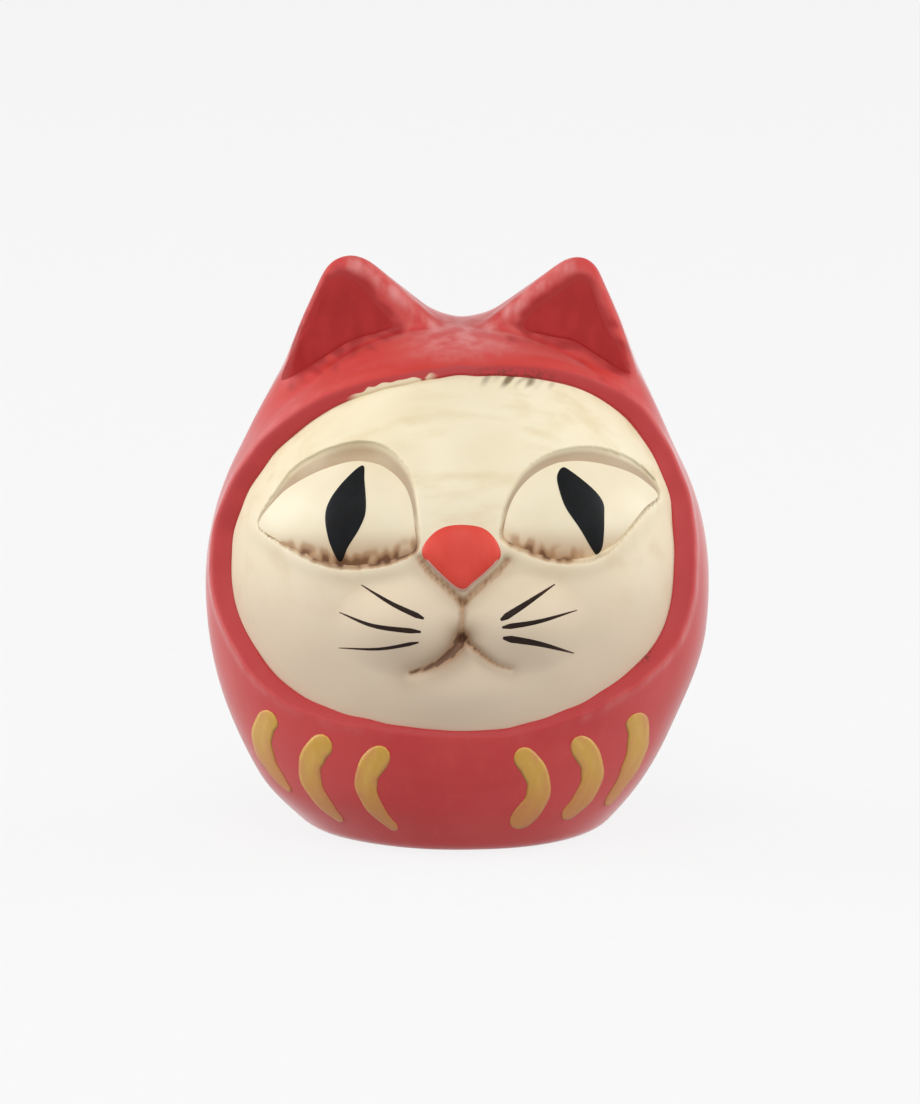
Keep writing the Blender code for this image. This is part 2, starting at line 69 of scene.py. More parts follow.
# Hand-made touches: square shoulders, a flat low on the right, a foot pared most on the left
SHOULDER_HEIGHT = 58.5
SHOULDER_SPREAD = 6.0
SHOULDER_REACH = (10.0, 24.0)
SHOULDER_RISE = 0.15
RIGHT_FLAT = 1.1
RIGHT_FLAT_REACH = (5.0, 22.0)
RIGHT_FLAT_TOP = 28.0
RIGHT_FLAT_FADE = 14.0
PARED_REACH = (2.0, 15.0)
PARED_TOP = 8.0
FOOT_PARED = 0.4
FOOT_PARED_LEFT = 0.6
FOOT_KEPT_RIGHT = 0.3
SKIN_WAVE = 0.08
SKIN_WAVELENGTH = 16.0

# Middle that the shell's rays start from, and how surfaces are found along a ray
CORE = np.array([0.0, 0.0, 42.0])
CORE_REACH = 62.0
FRONT_REACH = 48.0
RAY_LIMIT = 70.0
RAY_STEPS = 60
RAY_PACE = 0.8

# Drawing plane, and the camera that faces it: aim on the plane, distance and height seen there
LEAN = math.radians(10.0)
ACROSS = np.array([1.0, 0.0, 0.0])
UPWARD = np.array([0.0, math.sin(LEAN), math.cos(LEAN)])
TOWARDS = np.array([0.0, -math.cos(LEAN), math.sin(LEAN)])
AIM = (0.345, 37.92)
CAMERA_REACH = 1270.0
PLANE_HEIGHT = 152.35
SENSOR = 36.0

# Hood opening, anticlockwise from the top
OPENING = ((0.6, 61.9), (-7.0, 60.8), (-15.5, 58.3), (-22.3, 54.0), (-27.3, 48.7), (-30.3, 42.3),
           (-31.1, 35.4), (-29.5, 28.5), (-24.7, 21.5), (-19.1, 17.8), (-12.3, 15.5), (-3.4, 14.2),
           (5.0, 14.2), (12.6, 15.9), (20.5, 19.9), (26.6, 25.4), (29.1, 31.0), (29.6, 39.5),
           (28.4, 47.7), (24.3, 55.0), (18.2, 59.7), (10.0, 61.7))
OPENING_CENTRE = np.array([-0.7, 38.0])

# Share of full white that the backdrop gives off by itself
BACKDROP_GLOW = 0.86

# Height on the drawing plane above which rubbed and overpainted edges count as the brow
BROW_ABOVE = 50.0

# Depth and width of the rim's bevel at the sides, above and below
RIM_DEPTH = (2.1, 0.45, 0.6)
RIM_WIDTH = (2.1, 1.1, 0.7)

# Lip along the bevel's outer edge, roll over the brow, and rows tucked in under the rim
LIP_RISE = 0.15
LIP_SPREAD = 1.4
ROLL_RISE = 0.40
ROLL_PLACE = 3.0
ROLL_SPREAD = 2.2
TUCK = (1.5, 0.3, 4)

# Eyes: outer edge of the carved lid, then the edge of the eyeball
LID_LEFT = ((-26.9, 41.6), (-25.4, 45.0), (-22.3, 49.1), (-18.6, 51.4), (-15.0, 52.6), (-12.3, 52.8),
            (-9.7, 52.1), (-7.4, 50.1), (-5.8, 47.2), (-5.2, 43.0), (-5.1, 38.3), (-7.8, 36.7),
            (-10.1, 35.9), (-14.5, 35.5), (-18.1, 36.1), (-20.8, 37.2), (-24.0, 39.1))
BALL_LEFT = ((-26.5, 41.6), (-23.6, 45.4), (-20.4, 47.5), (-16.8, 49.0), (-13.5, 49.7), (-10.1, 49.0),
             (-7.8, 47.2), (-6.5, 44.5), (-5.9, 41.0), (-5.7, 38.4), (-8.0, 37.2), (-10.2, 36.5),
             (-14.5, 36.1), (-18.0, 36.7), (-20.6, 37.8), (-23.8, 39.7))
LID_RIGHT = ((5.6, 40.2), (6.3, 44.2), (8.5, 48.3), (11.1, 50.5), (14.5, 51.8), (18.1, 52.1),
             (21.8, 51.3), (24.9, 49.6), (27.0, 47.4), (27.4, 45.3), (25.2, 43.2), (23.0, 40.6),
             (20.7, 38.1), (18.0, 36.7), (14.9, 36.3), (12.0, 36.6), (8.7, 37.8), (6.4, 38.9))
BALL_RIGHT = ((6.3, 40.4), (7.0, 43.3), (8.2, 45.7), (10.4, 48.0), (13.0, 49.3), (15.9, 49.7),
              (19.3, 49.4), (23.0, 48.4), (25.5, 46.9), (26.7, 45.4), (24.9, 43.9), (22.6, 41.4),
              (20.3, 38.9), (18.0, 37.4), (14.9, 37.0), (12.1, 37.3), (9.0, 38.4), (7.0, 39.4))

# Shell: inner wall's share of the outer, last row before the seam, rows, columns, thinning inside,
# where rows crowd over the ears and at the rim, and the opening's hand-cut waver
INNER_SHARE = 0.88
SEAM_STEP = 0.999
SHELL_ROWS = 144
SHELL_COLUMNS = 570
BACK_ROWS = 133
INNER_THINNING = 12
EAR_ROWS = (0.84, 0.15, 2.5)
RIM_ROWS = (0.12, 3.0)
EDGE_WAVE = 0.035

# Eyeball dome: radii, how far it sinks, how it falls away, thickness and depth of the low gouges
EYE_RADII = (10.5, 7.0)
EYE_SINK = 0.30
EYE_FALL_ACROSS = 0.9
EYE_FALL_UP = 1.35
EYE_FALL_LOW = 1.1
EYE_THICKNESS = 2.0
GOUGE_DEPTH = 0.22

# Pupil: a lens of lacquer, its rise, the height of its edge and how deep its back is buried
PUPIL_RISE = 0.10
PUPIL_EDGE = 0.02
PUPIL_BURIED = 0.15

EYE_MIDDLES = {"left": (-15.6, 42.6), "right": (16.2, 43.2)}
PUPIL_LEFT = ((-12.8, 49.6), (-12.5, 47.6), (-12.3, 43.6), (-13.1, 41.2), (-14.7, 38.6), (-15.7, 36.6),
              (-16.7, 37.9), (-17.5, 40.2), (-17.8, 42.9), (-17.1, 45.1), (-15.2, 47.6))
PUPIL_RIGHT = ((14.1, 49.3), (15.2, 48.9), (18.1, 46.6), (19.6, 44.7), (19.8, 42.6), (19.6, 38.9),
               (18.9, 37.6), (18.3, 38.0), (16.5, 41.0), (14.6, 43.8), (13.7, 46.2), (13.4, 48.1))

# Nose, muzzle and grooves
NOSE = ((-4.9, 38.4), (-3.9, 40.0), (-1.8, 41.4), (0.7, 41.8), (3.3, 41.3), (5.1, 40.0), (5.9, 38.2),
        (5.5, 36.7), (4.0, 35.1), (2.2, 33.6), (0.9, 32.6), (-0.6, 33.2), (-2.9, 35.3), (-4.5, 37.1))
NOSE_CENTRE = (0.6, 37.6)
NOSE_RISE = 1.6
NOSE_SINK = 0.1
NOSE_FULLNESS = 2.8
NOSE_BURIED = 1.2
CREVICE_LEFT = ((-5.0, 37.0), (-3.7, 35.2), (-1.9, 33.6), (-0.3, 32.1), (0.6, 31.1))
CREVICE_RIGHT = ((6.6, 36.7), (5.2, 35.1), (3.4, 33.6), (2.0, 32.3), (0.9, 31.2))
PHILTRUM = ((0.7, 31.3), (0.7, 29.5), (0.5, 27.7), (0.6, 26.2))
MOUTH_LEFT = ((0.6, 26.4), (-0.3, 24.9), (-1.7, 23.6), (-3.7, 22.5), (-6.2, 21.7))
MOUTH_RIGHT = ((0.9, 26.3), (2.4, 24.9), (4.0, 23.6), (5.5, 22.7), (7.2, 22.2))
CHEEK_PADS = (((-7.2, 27.9), (9.6, 7.0)), ((8.4, 28.2), (9.8, 7.0)))
CHEEK_RISE = 1.9
CHIN = ((0.5, 18.6), (6.5, 3.6))
CHIN_RISE = 0.8
BRIDGE_MIDDLE = 0.6
BRIDGE_WIDTH = 4.6
BRIDGE_FOOT = (30.0, 36.0)
BRIDGE_TOP = (44.0, 58.0)
BRIDGE_RISE = 0.8
FACE_SINK = 0.25
FACE_TUCK = 0.1
FACE_WAVE = 0.05
FACE_WAVELENGTH = 9.0
FACE_THICKNESS = 2.2

# Face grid: columns, rings to the share where they crowd, rings beyond it, thinning behind
FACE_COLUMNS = 520
FACE_RINGS = 140
FACE_EDGE_RINGS = 24
FACE_SHARES = (0.004, 0.90, 1.015)
FACE_THINNING = 8

# Grooves: path, width, depth, brown wash, and its glow: a wider soft brown halo that is painted shade in
# and round the crease, spread from the wash
GROOVES = (
    (CREVICE_LEFT, 0.62, 0.60, 0.75, 0.5),
    (CREVICE_RIGHT, 0.58, 0.60, 0.75, 0.5),
    (PHILTRUM, 0.42, 0.50, 0.60, 0.4),
    (MOUTH_LEFT, 0.95, 1.05, 2.4, 1.2),
    (MOUTH_RIGHT, 0.52, 0.65, 1.1, 0.9),
)

# Lids: height of the lower crest and of the upper edge, and the groove round the eyeball
LID_CREST = 0.45
LID_EDGE = 0.30
SOCKET_FLOOR = 0.25
SOCKET_GROOVE = 0.8

# Whiskers: root, bend, tip, greatest half width
WHISKERS = {
    "whisker_left_1": ((-4.5, 29.0), (-8.8, 31.0), (-12.9, 33.5), 0.36),
    "whisker_left_2": ((-4.9, 27.2), (-11.2, 28.0), (-15.9, 29.8), 0.34),
    "whisker_left_3": ((-5.2, 25.8), (-10.5, 24.9), (-16.0, 25.0), 0.24),
    "whisker_right_1": ((5.8, 28.8), (9.4, 31.1), (13.1, 33.6), 0.44),
    "whisker_right_2": ((6.0, 27.8), (10.9, 28.6), (16.1, 30.1), 0.36),
    "whisker_right_3": ((6.1, 26.4), (10.9, 25.6), (15.7, 24.3), 0.46),
}

# Brush strokes: thickness of the paint, how much of it is gone at the sides, points across the top
# and underneath, and how deep the underside is buried
WHISKER_THICKNESS = 0.07
STRIPE_THICKNESS = 0.13
STROKE_FALL = 0.96
STROKE_TOP = 9
STROKE_UNDER = 4
STROKE_BURIED = 0.12

# Gold strokes: start, bend, end, half width at the start and at the end
STRIPES = {
    "gold_stripe_left_1": ((-9.4, 11.2), (-15.9, 6.6), (-8.2, 0.2), 1.75, 0.50),
    "gold_stripe_left_2": ((-17.3, 12.6), (-23.6, 8.2), (-15.6, 1.2), 1.75, 0.45),
    "gold_stripe_left_3": ((-24.9, 15.9), (-29.3, 12.2), (-22.7, 5.2), 1.60, 0.35),
    "gold_stripe_right_1": ((8.0, 11.1), (14.4, 5.6), (7.3, 0.8), 1.65, 1.45),
    "gold_stripe_right_2": ((15.7, 12.6), (21.6, 7.6), (14.3, 1.7), 1.70, 0.85),
    "gold_stripe_right_3": ((23.9, 15.9), (26.5, 11.2), (20.2, 3.3), 1.60, 0.45),
}

# Ears: height where they fade; dish near the outer and inner edge, as depth, start and end; rounding
# of the front, growing below EAR_FOOT_TOP, and of the back; pinch of the outer edge below its top
EAR_ROOT = 62.0
EAR_FADE = 40.0
EAR_DISH_OUTER = (0.25, 0.2, 2.0)
EAR_DISH_INNER = (0.5, 0.5, 2.8)
EAR_FRONT_ROUND = 1.8
EAR_FOOT_ROUND = 6.0
EAR_FOOT_TOP = 69.0
EAR_FOOT_FADE = 9.0
EAR_BACK_ROUND = 3.0
EAR_PINCH = 0.6
EAR_PINCH_TOP = 72.0
EAR_PINCH_FADE = 11.0
EAR_BLEND = 1.0
EAR_BLEND_BACK = 1.4
EAR_BLEND_ROOT = 1.0
EAR_FRONT_PLANE = ((0.0, -3.0, 76.0), (0.0, -0.970, 0.243))
EAR_BACK_PLANE = ((0.0, 3.4, 76.0), (0.0, 0.913, 0.407))

# Ears: a point on the outer edge and its run per rise, a point on the inner edge and its rise per run,
# and the rounding of the tip
EARS = {
    -1.0: ((17.85, 78.3), 0.46, (12.1, 79.05), 0.85, 6.4),
    1.0: ((18.98, 78.3), 0.43, (13.6, 78.6), 0.77, 4.8),
}

# Dark coat on the fronts of the ears: thickness, drop at its edge, buried depth, and its way out
EAR_COAT = 0.16
EAR_COAT_DROP = 0.26
EAR_COAT_BURIED = 0.25
EAR_COAT_WAY = np.array([0.0, -1.0, 0.2])
EAR_FRONTS = {
    "left": ((-15.8, 76.5), (-12.8, 75.3), (-10.3, 72.2), (-7.9, 69.2), (-8.4, 68.1), (-12.8, 66.5),
             (-18.7, 63.4), (-24.0, 60.6), (-24.9, 61.2), (-23.2, 65.1), (-20.6, 70.4), (-18.4, 74.8),
             (-17.2, 76.2)),
    "right": ((16.9, 75.9), (18.5, 74.9), (20.1, 71.0), (22.1, 66.5), (24.0, 62.8), (24.7, 61.2),
              (22.7, 61.9), (18.6, 64.4), (14.8, 66.1), (11.1, 67.2), (8.2, 68.1), (8.4, 69.7),
              (10.3, 72.0), (13.0, 73.8), (15.5, 75.5)),
}


# ---------------------------------------------------------------- small shape tools

def smoothstep(value, low, high):
    """0 below low, 1 above high, and 3t^2 - 2t^3 between."""
    t = np.clip((value - low) / (high - low), 0.0, 1.0)
    return t * t * (3.0 - 2.0 * t)


def bell(value, width):
    """exp(-(value / width)^2)."""
    return np.exp(-(value / width) ** 2)


def soft_max(a, b, k):
    """The larger of two fields, rounded where they are within k of each other."""
    near = np.maximum(k - np.abs(a - b), 0.0) / k
    return np.maximum(a, b) + near * near * k / 4.0


def soft_min(a, b, k):
    """The smaller of two fields, filleted where they are within k of each other."""
    return -soft_max(-a, -b, k)


def wobble(points, wavelength, seed):
    """Sum of ten sine waves in set random directions, about -1 to 1: a hand-shaped unevenness."""
    rng = np.random.default_rng(seed)
    total = np.zeros(points.shape[:-1])
    for _ in range(10):
        heading = rng.normal(size=points.shape[-1])
        heading *= 2.0 * math.pi / (wavelength * rng.uniform(0.7, 1.6) * np.linalg.norm(heading))
        total += np.sin(points @ heading + rng.uniform(0.0, 2.0 * math.pi))
    return total / 4.0


def curve(points, closed=False, steps=10):
    """Catmull-Rom curve through the points: each stretch is a cubic set by its four neighbours."""
    knots = np.array(points, dtype=float)
    if closed:
        before, after, beyond = np.roll(knots, 1, 0), np.roll(knots, -1, 0), np.roll(knots, -2, 0)
    else:
        first = 2.0 * knots[0] - knots[1]
        last = 2.0 * knots[-1] - knots[-2]
        padded = np.vstack([first, knots, last])
        before, knots, after, beyond = padded[:-3], padded[1:-2], padded[2:-1], padded[3:]
    t = (np.arange(steps) / steps)[None, :, None]
    p0, p1, p2, p3 = [part[:, None, :] for part in (before, knots, after, beyond)]
    cubic = 0.5 * (2.0 * p1 + (p2 - p0) * t + (2.0 * p0 - 5.0 * p1 + 4.0 * p2 - p3) * t ** 2
                   + (3.0 * p1 - p0 - 3.0 * p2 + p3) * t ** 3)
    path = cubic.reshape(-1, cubic.shape[-1])
    return path if closed else np.vstack([path, np.array(points[-1], dtype=float)])


def gap_to(spots, path, closed=False):
    """Distance from each (u, v) to the nearest stretch of a path, and how far along it that is."""
    ends = np.roll(path, -1, 0) if closed else path[1:]
    starts = path if closed else path[:-1]
    best = np.full(spots.shape[:-1], np.inf)
    along = np.zeros(spots.shape[:-1])
    for index, (start, end) in enumerate(zip(starts, ends)):
        run = end - start
        t = np.clip(((spots - start) @ run) / max(run @ run, 1e-12), 0.0, 1.0)
        gap = np.hypot(spots[..., 0] - start[0] - t * run[0], spots[..., 1] - start[1] - t * run[1])
        closer = gap < best
        best = np.where(closer, gap, best)
        along = np.where(closer, (index + t) / len(starts), along)
    return best, along


def signed_gap(spots, points):
    """Distance to a closed outline, negative inside it (by counting edge crossings)."""
    path = curve(points, closed=True)
    gap, _ = gap_to(spots, path, closed=True)
    inside = np.zeros(spots.shape[:-1], dtype=bool)
    for start, end in zip(path, np.roll(path, -1, 0)):
        spans = (start[1] > spots[..., 1]) != (end[1] > spots[..., 1])
        rise = end[1] - start[1] if abs(end[1] - start[1]) > 1e-12 else 1e-12
        cross = start[0] + (spots[..., 1] - start[1]) * (end[0] - start[0]) / rise
        inside ^= spans & (spots[..., 0] < cross)
    return np.where(inside, -gap, gap)


# ---------------------------------------------------------------- the doll's surfaces

def egg_field(points):
    """About the distance to the egg: k(k - 1) / |gradient|, k being the ellipsoid norm."""
    x, y, z = points[..., 0], points[..., 1], points[..., 2] - WAIST
    tall = np.where(z > 0.0, CROWN_RISE, BELLY_DROP)
    norm = np.sqrt((x / HALF_WIDTH) ** 2 + (y / HALF_DEPTH) ** 2 + (z / tall) ** 2)
    slope = np.sqrt((x / HALF_WIDTH ** 2) ** 2 + (y / HALF_DEPTH ** 2) ** 2 + (z / tall ** 2) ** 2)
    return norm * (norm - 1.0) / np.maximum(slope, 1e-9)


def egg_normal(points):
    """Unit normal of the egg through each point."""
    z = points[..., 2] - WAIST
    tall = np.where(z > 0.0, CROWN_RISE, BELLY_DROP)
    normal = np.stack([points[..., 0] / HALF_WIDTH ** 2, points[..., 1] / HALF_DEPTH ** 2,
                       z / tall ** 2], axis=-1)
    return normal / np.linalg.norm(normal, axis=-1, keepdims=True)


def plane(points, through, normal):
    """Signed distance to a plane."""
    normal = np.array(normal) / np.linalg.norm(normal)
    return (points - np.array(through)) @ normal


def ear_edges(points, side):
    """Signed distances to an ear's outer edge, its inner edge, and both rounded at the tip."""
    (outer_x, outer_z), outer_run, (inner_x, inner_z), inner_rise, rounding = EARS[side]
    mirrored = points * np.array([side, 1.0, 1.0])
    outer = plane(mirrored, (outer_x, 0.0, outer_z), (1.0, 0.0, outer_run))
    outer += EAR_PINCH * smoothstep(EAR_PINCH_TOP - points[..., 2], 0.0, EAR_PINCH_FADE)
    inner = plane(mirrored, (inner_x, 0.0, inner_z), (-inner_rise, 0.0, 1.0))
    return outer, inner, soft_max(outer, inner, rounding)


def ear_field(points, side):
    """Ear: outline, dished front and sloping back, rounded where they meet, sinking below EAR_ROOT."""
    outer, inner, edge = ear_edges(points, side)
    dish = EAR_DISH_OUTER[0] * smoothstep(-outer, *EAR_DISH_OUTER[1:])
    dish += EAR_DISH_INNER[0] * smoothstep(-inner, *EAR_DISH_INNER[1:])
    front = plane(points, *EAR_FRONT_PLANE) + dish
    back = plane(points, *EAR_BACK_PLANE)
    foot = smoothstep(EAR_FOOT_TOP - points[..., 2], 0.0, EAR_FOOT_FADE)
    corner = EAR_FRONT_ROUND + EAR_FOOT_ROUND * foot
    wedge = soft_max(soft_max(edge, front, corner), back, EAR_BACK_ROUND)
    return wedge + (EAR_ROOT - points[..., 2]).clip(0.0) ** 2 / EAR_FADE


def skin_field(points):
    """Egg with its hand-made touches and foot; ears blended in, crisply in front."""
    x, z = points[..., 0], points[..., 2]
    shoulder = bell(z - SHOULDER_HEIGHT, SHOULDER_SPREAD) * smoothstep(np.abs(x), *SHOULDER_REACH)
    body = egg_field(points) - SHOULDER_RISE * shoulder
    low = smoothstep(RIGHT_FLAT_TOP - z, 0.0, RIGHT_FLAT_FADE)
    body += RIGHT_FLAT * smoothstep(x, *RIGHT_FLAT_REACH) * low
    left, right = smoothstep(-x, *PARED_REACH), smoothstep(x, *PARED_REACH)
    pared = FOOT_PARED + FOOT_PARED_LEFT * left - FOOT_KEPT_RIGHT * right
    body += pared * smoothstep(PARED_TOP - z, 0.0, PARED_TOP)
    field = soft_max(body, FOOT - z, FOOT_ROUND)
    roots = smoothstep(np.abs(x), 16.0, 21.0) * smoothstep(70.0 - z, 0.0, 8.0)
    blend = EAR_BLEND + EAR_BLEND_BACK * smoothstep(points[..., 1], -4.5, 1.5) + EAR_BLEND_ROOT * roots
    for side in EARS:
        field = soft_min(field, ear_field(points, side), blend)
    return field - SKIN_WAVE * wobble(points, SKIN_WAVELENGTH, 3) * smoothstep(z, 0.5, 6.0)


def meet(starts, headings, field):
    """Walk from the start points along their headings until the field is zero."""
    reach = np.zeros(starts.shape[:-1])
    for _ in range(RAY_STEPS):
        reach += RAY_PACE * field(starts + headings * reach[..., None])
        reach = reach.clip(0.0, RAY_LIMIT)
    return starts + headings * reach[..., None]


def lay_on(spots, field):
    """Points where drawing-plane spots, carried towards the viewer, meet the field from in front."""
    flat = spots[..., :1] * ACROSS + spots[..., 1:] * UPWARD
    starts = flat + TOWARDS * FRONT_REACH
    return meet(starts, np.broadcast_to(-TOWARDS, starts.shape), field)


def to_spots(points):
    """Drop points back on to the drawing plane."""
    return np.stack([points @ ACROSS, points @ UPWARD], axis=-1)


def raised(spots, height):
    """Points seen at the drawing-plane spots that stand a height over the egg."""
    return lay_on(spots, lambda points: egg_field(points) - height)


def opening_reach(angles):
    """Radius of the hood opening at each angle round its centre, with a slight hand-cut waver."""
    path = curve(OPENING, closed=True) - OPENING_CENTRE
    bearings = np.arctan2(path[:, 1], path[:, 0])
    order = np.argsort(bearings)
    waver = EDGE_WAVE * (np.sin(13.0 * angles) + np.sin(29.0 * angles + 1.0)) * (1.0 + np.sin(5.0 * angles))
    return waver + np.interp(angles, bearings[order], np.hypot(path[:, 0], path[:, 1])[order],
                             period=2.0 * math.pi)


def opening_place(spots):
    """Angle round the opening, share of its radius, and millimetres beyond its edge."""
    offset = spots - OPENING_CENTRE
    angles = np.arctan2(offset[..., 1], offset[..., 0])
    radius = opening_reach(angles)
    length = np.hypot(offset[..., 0], offset[..., 1])
    return angles, length / radius, length - radius


def rim_size(angles):
    """Depth and width of the bevel from hood to face: broad at the sides, slight above and below."""
    sides = np.cos(angles) ** 2
    above = np.sin(angles).clip(0.0) ** 2
    below = (-np.sin(angles)).clip(0.0) ** 2
    return tuple(size[0] * sides + size[1] * above + size[2] * below for size in (RIM_DEPTH, RIM_WIDTH))


def eye_height(spots, word):
    """Eyeball: a dome that falls with the square across and up, and steeper above and below."""
    middle = EYE_MIDDLES[word]
    across = (spots[..., 0] - middle[0]) / EYE_RADII[0]
    up = (spots[..., 1] - middle[1]) / EYE_RADII[1]
    below = (-up).clip(0.0)
    return -EYE_SINK - EYE_FALL_ACROSS * across ** 2 - EYE_FALL_UP * up ** 2 - EYE_FALL_LOW * below ** 3


def streaks(spots, across, along, seed):
    """Brush or gouge drag, 0 to 1: wobble squeezed across and drawn out along v."""
    return smoothstep(wobble(spots * np.array([1.0, across / along]), across, seed), -0.7, 0.7)


def face_form(spots):
    """Height over the egg, brown wash (deepened as painted shade into the lid creases) and painted shade
    (upper lid bands, halos round the grooves) of the modelled face at each (u, v).
    """
    angles, share, _ = opening_place(spots)
    depth, _ = rim_size(angles)
    u, v = spots[..., 0], spots[..., 1]
    height = -FACE_SINK - (depth + FACE_TUCK) * share ** 3
    wash_and_shade = np.zeros(u.shape)
    painted_shade = np.zeros(u.shape)

    # Whisker pads, chin and bridge
    pads = np.zeros(u.shape)
    for centre, radii in CHEEK_PADS:
        away = ((u - centre[0]) / radii[0]) ** 2 + ((v - centre[1]) / radii[1]) ** 2
        pads = np.maximum(pads, (1.0 - away).clip(0.0) ** 2)
    height += CHEEK_RISE * pads
    (chin_u, chin_v), (chin_wide, chin_tall) = CHIN
    height += CHIN_RISE * bell(u - chin_u, chin_wide) * bell(v - chin_v, chin_tall)
    bridge = bell(u - BRIDGE_MIDDLE, BRIDGE_WIDTH) * smoothstep(v, *BRIDGE_FOOT)
    bridge *= 1.0 - smoothstep(v, *BRIDGE_TOP)
    height += BRIDGE_RISE * bridge

    # Eyes: brow edge, sloping lid, eyeball floor and lower lid crest
    for word, lid, ball in (("left", LID_LEFT, BALL_LEFT), ("right", LID_RIGHT, BALL_RIGHT)):
        middle = EYE_MIDDLES[word]
        outer = signed_gap(spots, lid)
        inner = signed_gap(spots, ball)
        lower = smoothstep(middle[1] - v, -1.0, 2.5)
        crest = LID_CREST * lower + LID_EDGE * (1.0 - lower)
        height += crest * bell(outer.clip(0.0) - 0.3, 1.4) * (outer > 0.0)
        ramp = (-outer).clip(0.0) / np.maximum((-outer).clip(0.0) + inner.clip(0.0), 1e-6)
        floor = eye_height(spots, word) - SOCKET_FLOOR - SOCKET_GROOVE * smoothstep(-inner, 0.2, 1.2)
        band = np.where(outer < 0.0, ramp ** 0.85, 0.0)
        height = height * (1.0 - band) + floor * band
        # Painted shade: the upper lid's slope, turned down from the light, is tinted brown, darker still
        # towards the eyeball's edge and the outer corner as painted shade in the crease.
        shade = (outer < 0.0) * smoothstep(ramp, 0.0, 0.4) * (1.0 - lower)
        corner = smoothstep(np.abs(u - middle[0]), 4.0, 11.0) * (np.abs(u) > abs(middle[0]))
        painted_shade = np.maximum(painted_shade, shade * (0.9 + 0.1 * corner))
        wash_and_shade = np.maximum(wash_and_shade, shade * smoothstep(ramp, 0.55, 1.0) * (0.22 + 0.38 * corner))
        inner_half = smoothstep(abs(middle[0]) + 1.0 - np.abs(u), -1.0, 3.0)
        reach = 1.0 if word == "left" else inner_half
        drag = 0.45 + 0.55 * streaks(spots, 1.1, 3.0, 21)
        wash_and_shade = np.maximum(wash_and_shade, reach * drag * lower * bell(inner, 0.6) * (outer < 0.15))

    # Grooves of the nose sides, lip and mouth
    scratch = 0.55 + 0.45 * streaks(spots, 0.8, 0.9, 33)
    for points, width, deep, brown, glow in GROOVES:
        gap, along = gap_to(spots, curve(points))
        fade = 1.0 - 0.55 * along if points[0][1] < 30.0 else np.ones(u.shape)
        height -= deep * fade * bell(gap, width * (0.7 + 0.3 * fade))
        wash_and_shade = np.maximum(wash_and_shade, (brown * fade * scratch * bell(gap, width * 0.8 * fade)).clip(0.0, 1.0))
        # Soft brown halo round the groove: painted shade in the crease, spread from the wash.
        painted_shade = np.maximum(painted_shade, (glow * fade * bell(gap, width * 2.4)).clip(0.0, 1.0))
    return height + FACE_WAVE * wobble(spots, FACE_WAVELENGTH, 11), wash_and_shade, painted_shade


def face_points(spots, lift=0.0):
    """Points of the face surface for drawing-plane spots, raised by lift."""
    height, wash_and_shade, painted_shade = face_form(spots)
    return raised(spots, height + lift), wash_and_shade, painted_shade


# ---------------------------------------------------------------- meshes

def mesh_piece(name, rows, material, poles=(False, False), loop=False, marks=None):
    """Closed grid: rows of points, wrapped round; rows may loop, or end in single pole points."""
    height, width = rows.shape[:2]
    count = height if loop else height - 1
    row = np.arange(count)[:, None]
    column = np.arange(width)[None, :]
    below = (row + 1) % height
    beside = (column + 1) % width
    quads = np.stack([row * width + column, row * width + beside, below * width + beside,
                      below * width + column], axis=-1).reshape(-1, 4)
    points = (rows.reshape(-1, 3) + np.array([0.0, MIDDLE_Y, 0.0])) * MM
    faces = [quads]
    values = {key: value.reshape(-1) for key, value in (marks or {}).items()}
    tips = []
    for end, wanted in zip((0, height - 1), poles):
        if wanted:
            ring = end * width + np.arange(width)
            tip = len(points) + len(tips)
            fan = np.stack([ring, np.roll(ring, -1), np.full(width, tip)], axis=-1)
            faces.append(fan if end else fan[:, ::-1])
            tips.append(points[ring].mean(axis=0))
            values = {key: np.append(value, value[ring].mean()) for key, value in values.items()}
    if tips:
        points = np.vstack([points, tips])
    triangles = np.vstack([part if part.shape[1] == 3 else np.vstack([part[:, :3], part[:, [0, 2, 3]]])
                           for part in faces])
    a, b, c = (points[triangles[:, index]] for index in range(3))
    if np.einsum("ij,ij->i", a, np.cross(b, c)).sum() < 0.0:
        faces = [part[:, ::-1] for part in faces]
    mesh = bpy.data.meshes.new(name)
    mesh.from_pydata(points.tolist(), [], [face for part in faces for face in part.tolist()])
    for key, value in values.items():
        layer = mesh.attributes.new(key, "FLOAT", "POINT")
        layer.data.foreach_set("value", value.astype(np.float32))
    mesh.shade_smooth()
    mesh.materials.append(material)
    piece = bpy.data.objects.new(name, mesh)
    bpy.context.scene.collection.objects.link(piece)
    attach(piece, "root")
    return piece


def leave_core(headings):
    """Points where rays from the core leave the skin."""
    headings = headings / np.linalg.norm(headings, axis=-1, keepdims=True)
    return meet(CORE + headings * CORE_REACH, -headings, skin_field)


def inner_wall(rows, every):
    """Rows of the inner wall: every so-many outer rows, drawn in towards the core, run backwards."""
    return (rows[::-every] - CORE) * INNER_SHARE + CORE


def seam_turns():
    """Angles round the hood opening, its edge on the egg, and the seam directions beside it."""
    turns = np.linspace(0.0, 2.0 * math.pi, SHELL_COLUMNS, endpoint=False)
    edge = OPENING_CENTRE + opening_reach(turns)[:, None] * np.stack([np.cos(turns), np.sin(turns)], -1)
    rim = raised(edge, -rim_size(turns)[0]) - CORE
    around = np.arctan2(rim[:, 2], rim[:, 0])
    return rim, np.stack([np.cos(around), np.zeros(around.shape), np.sin(around)], -1)


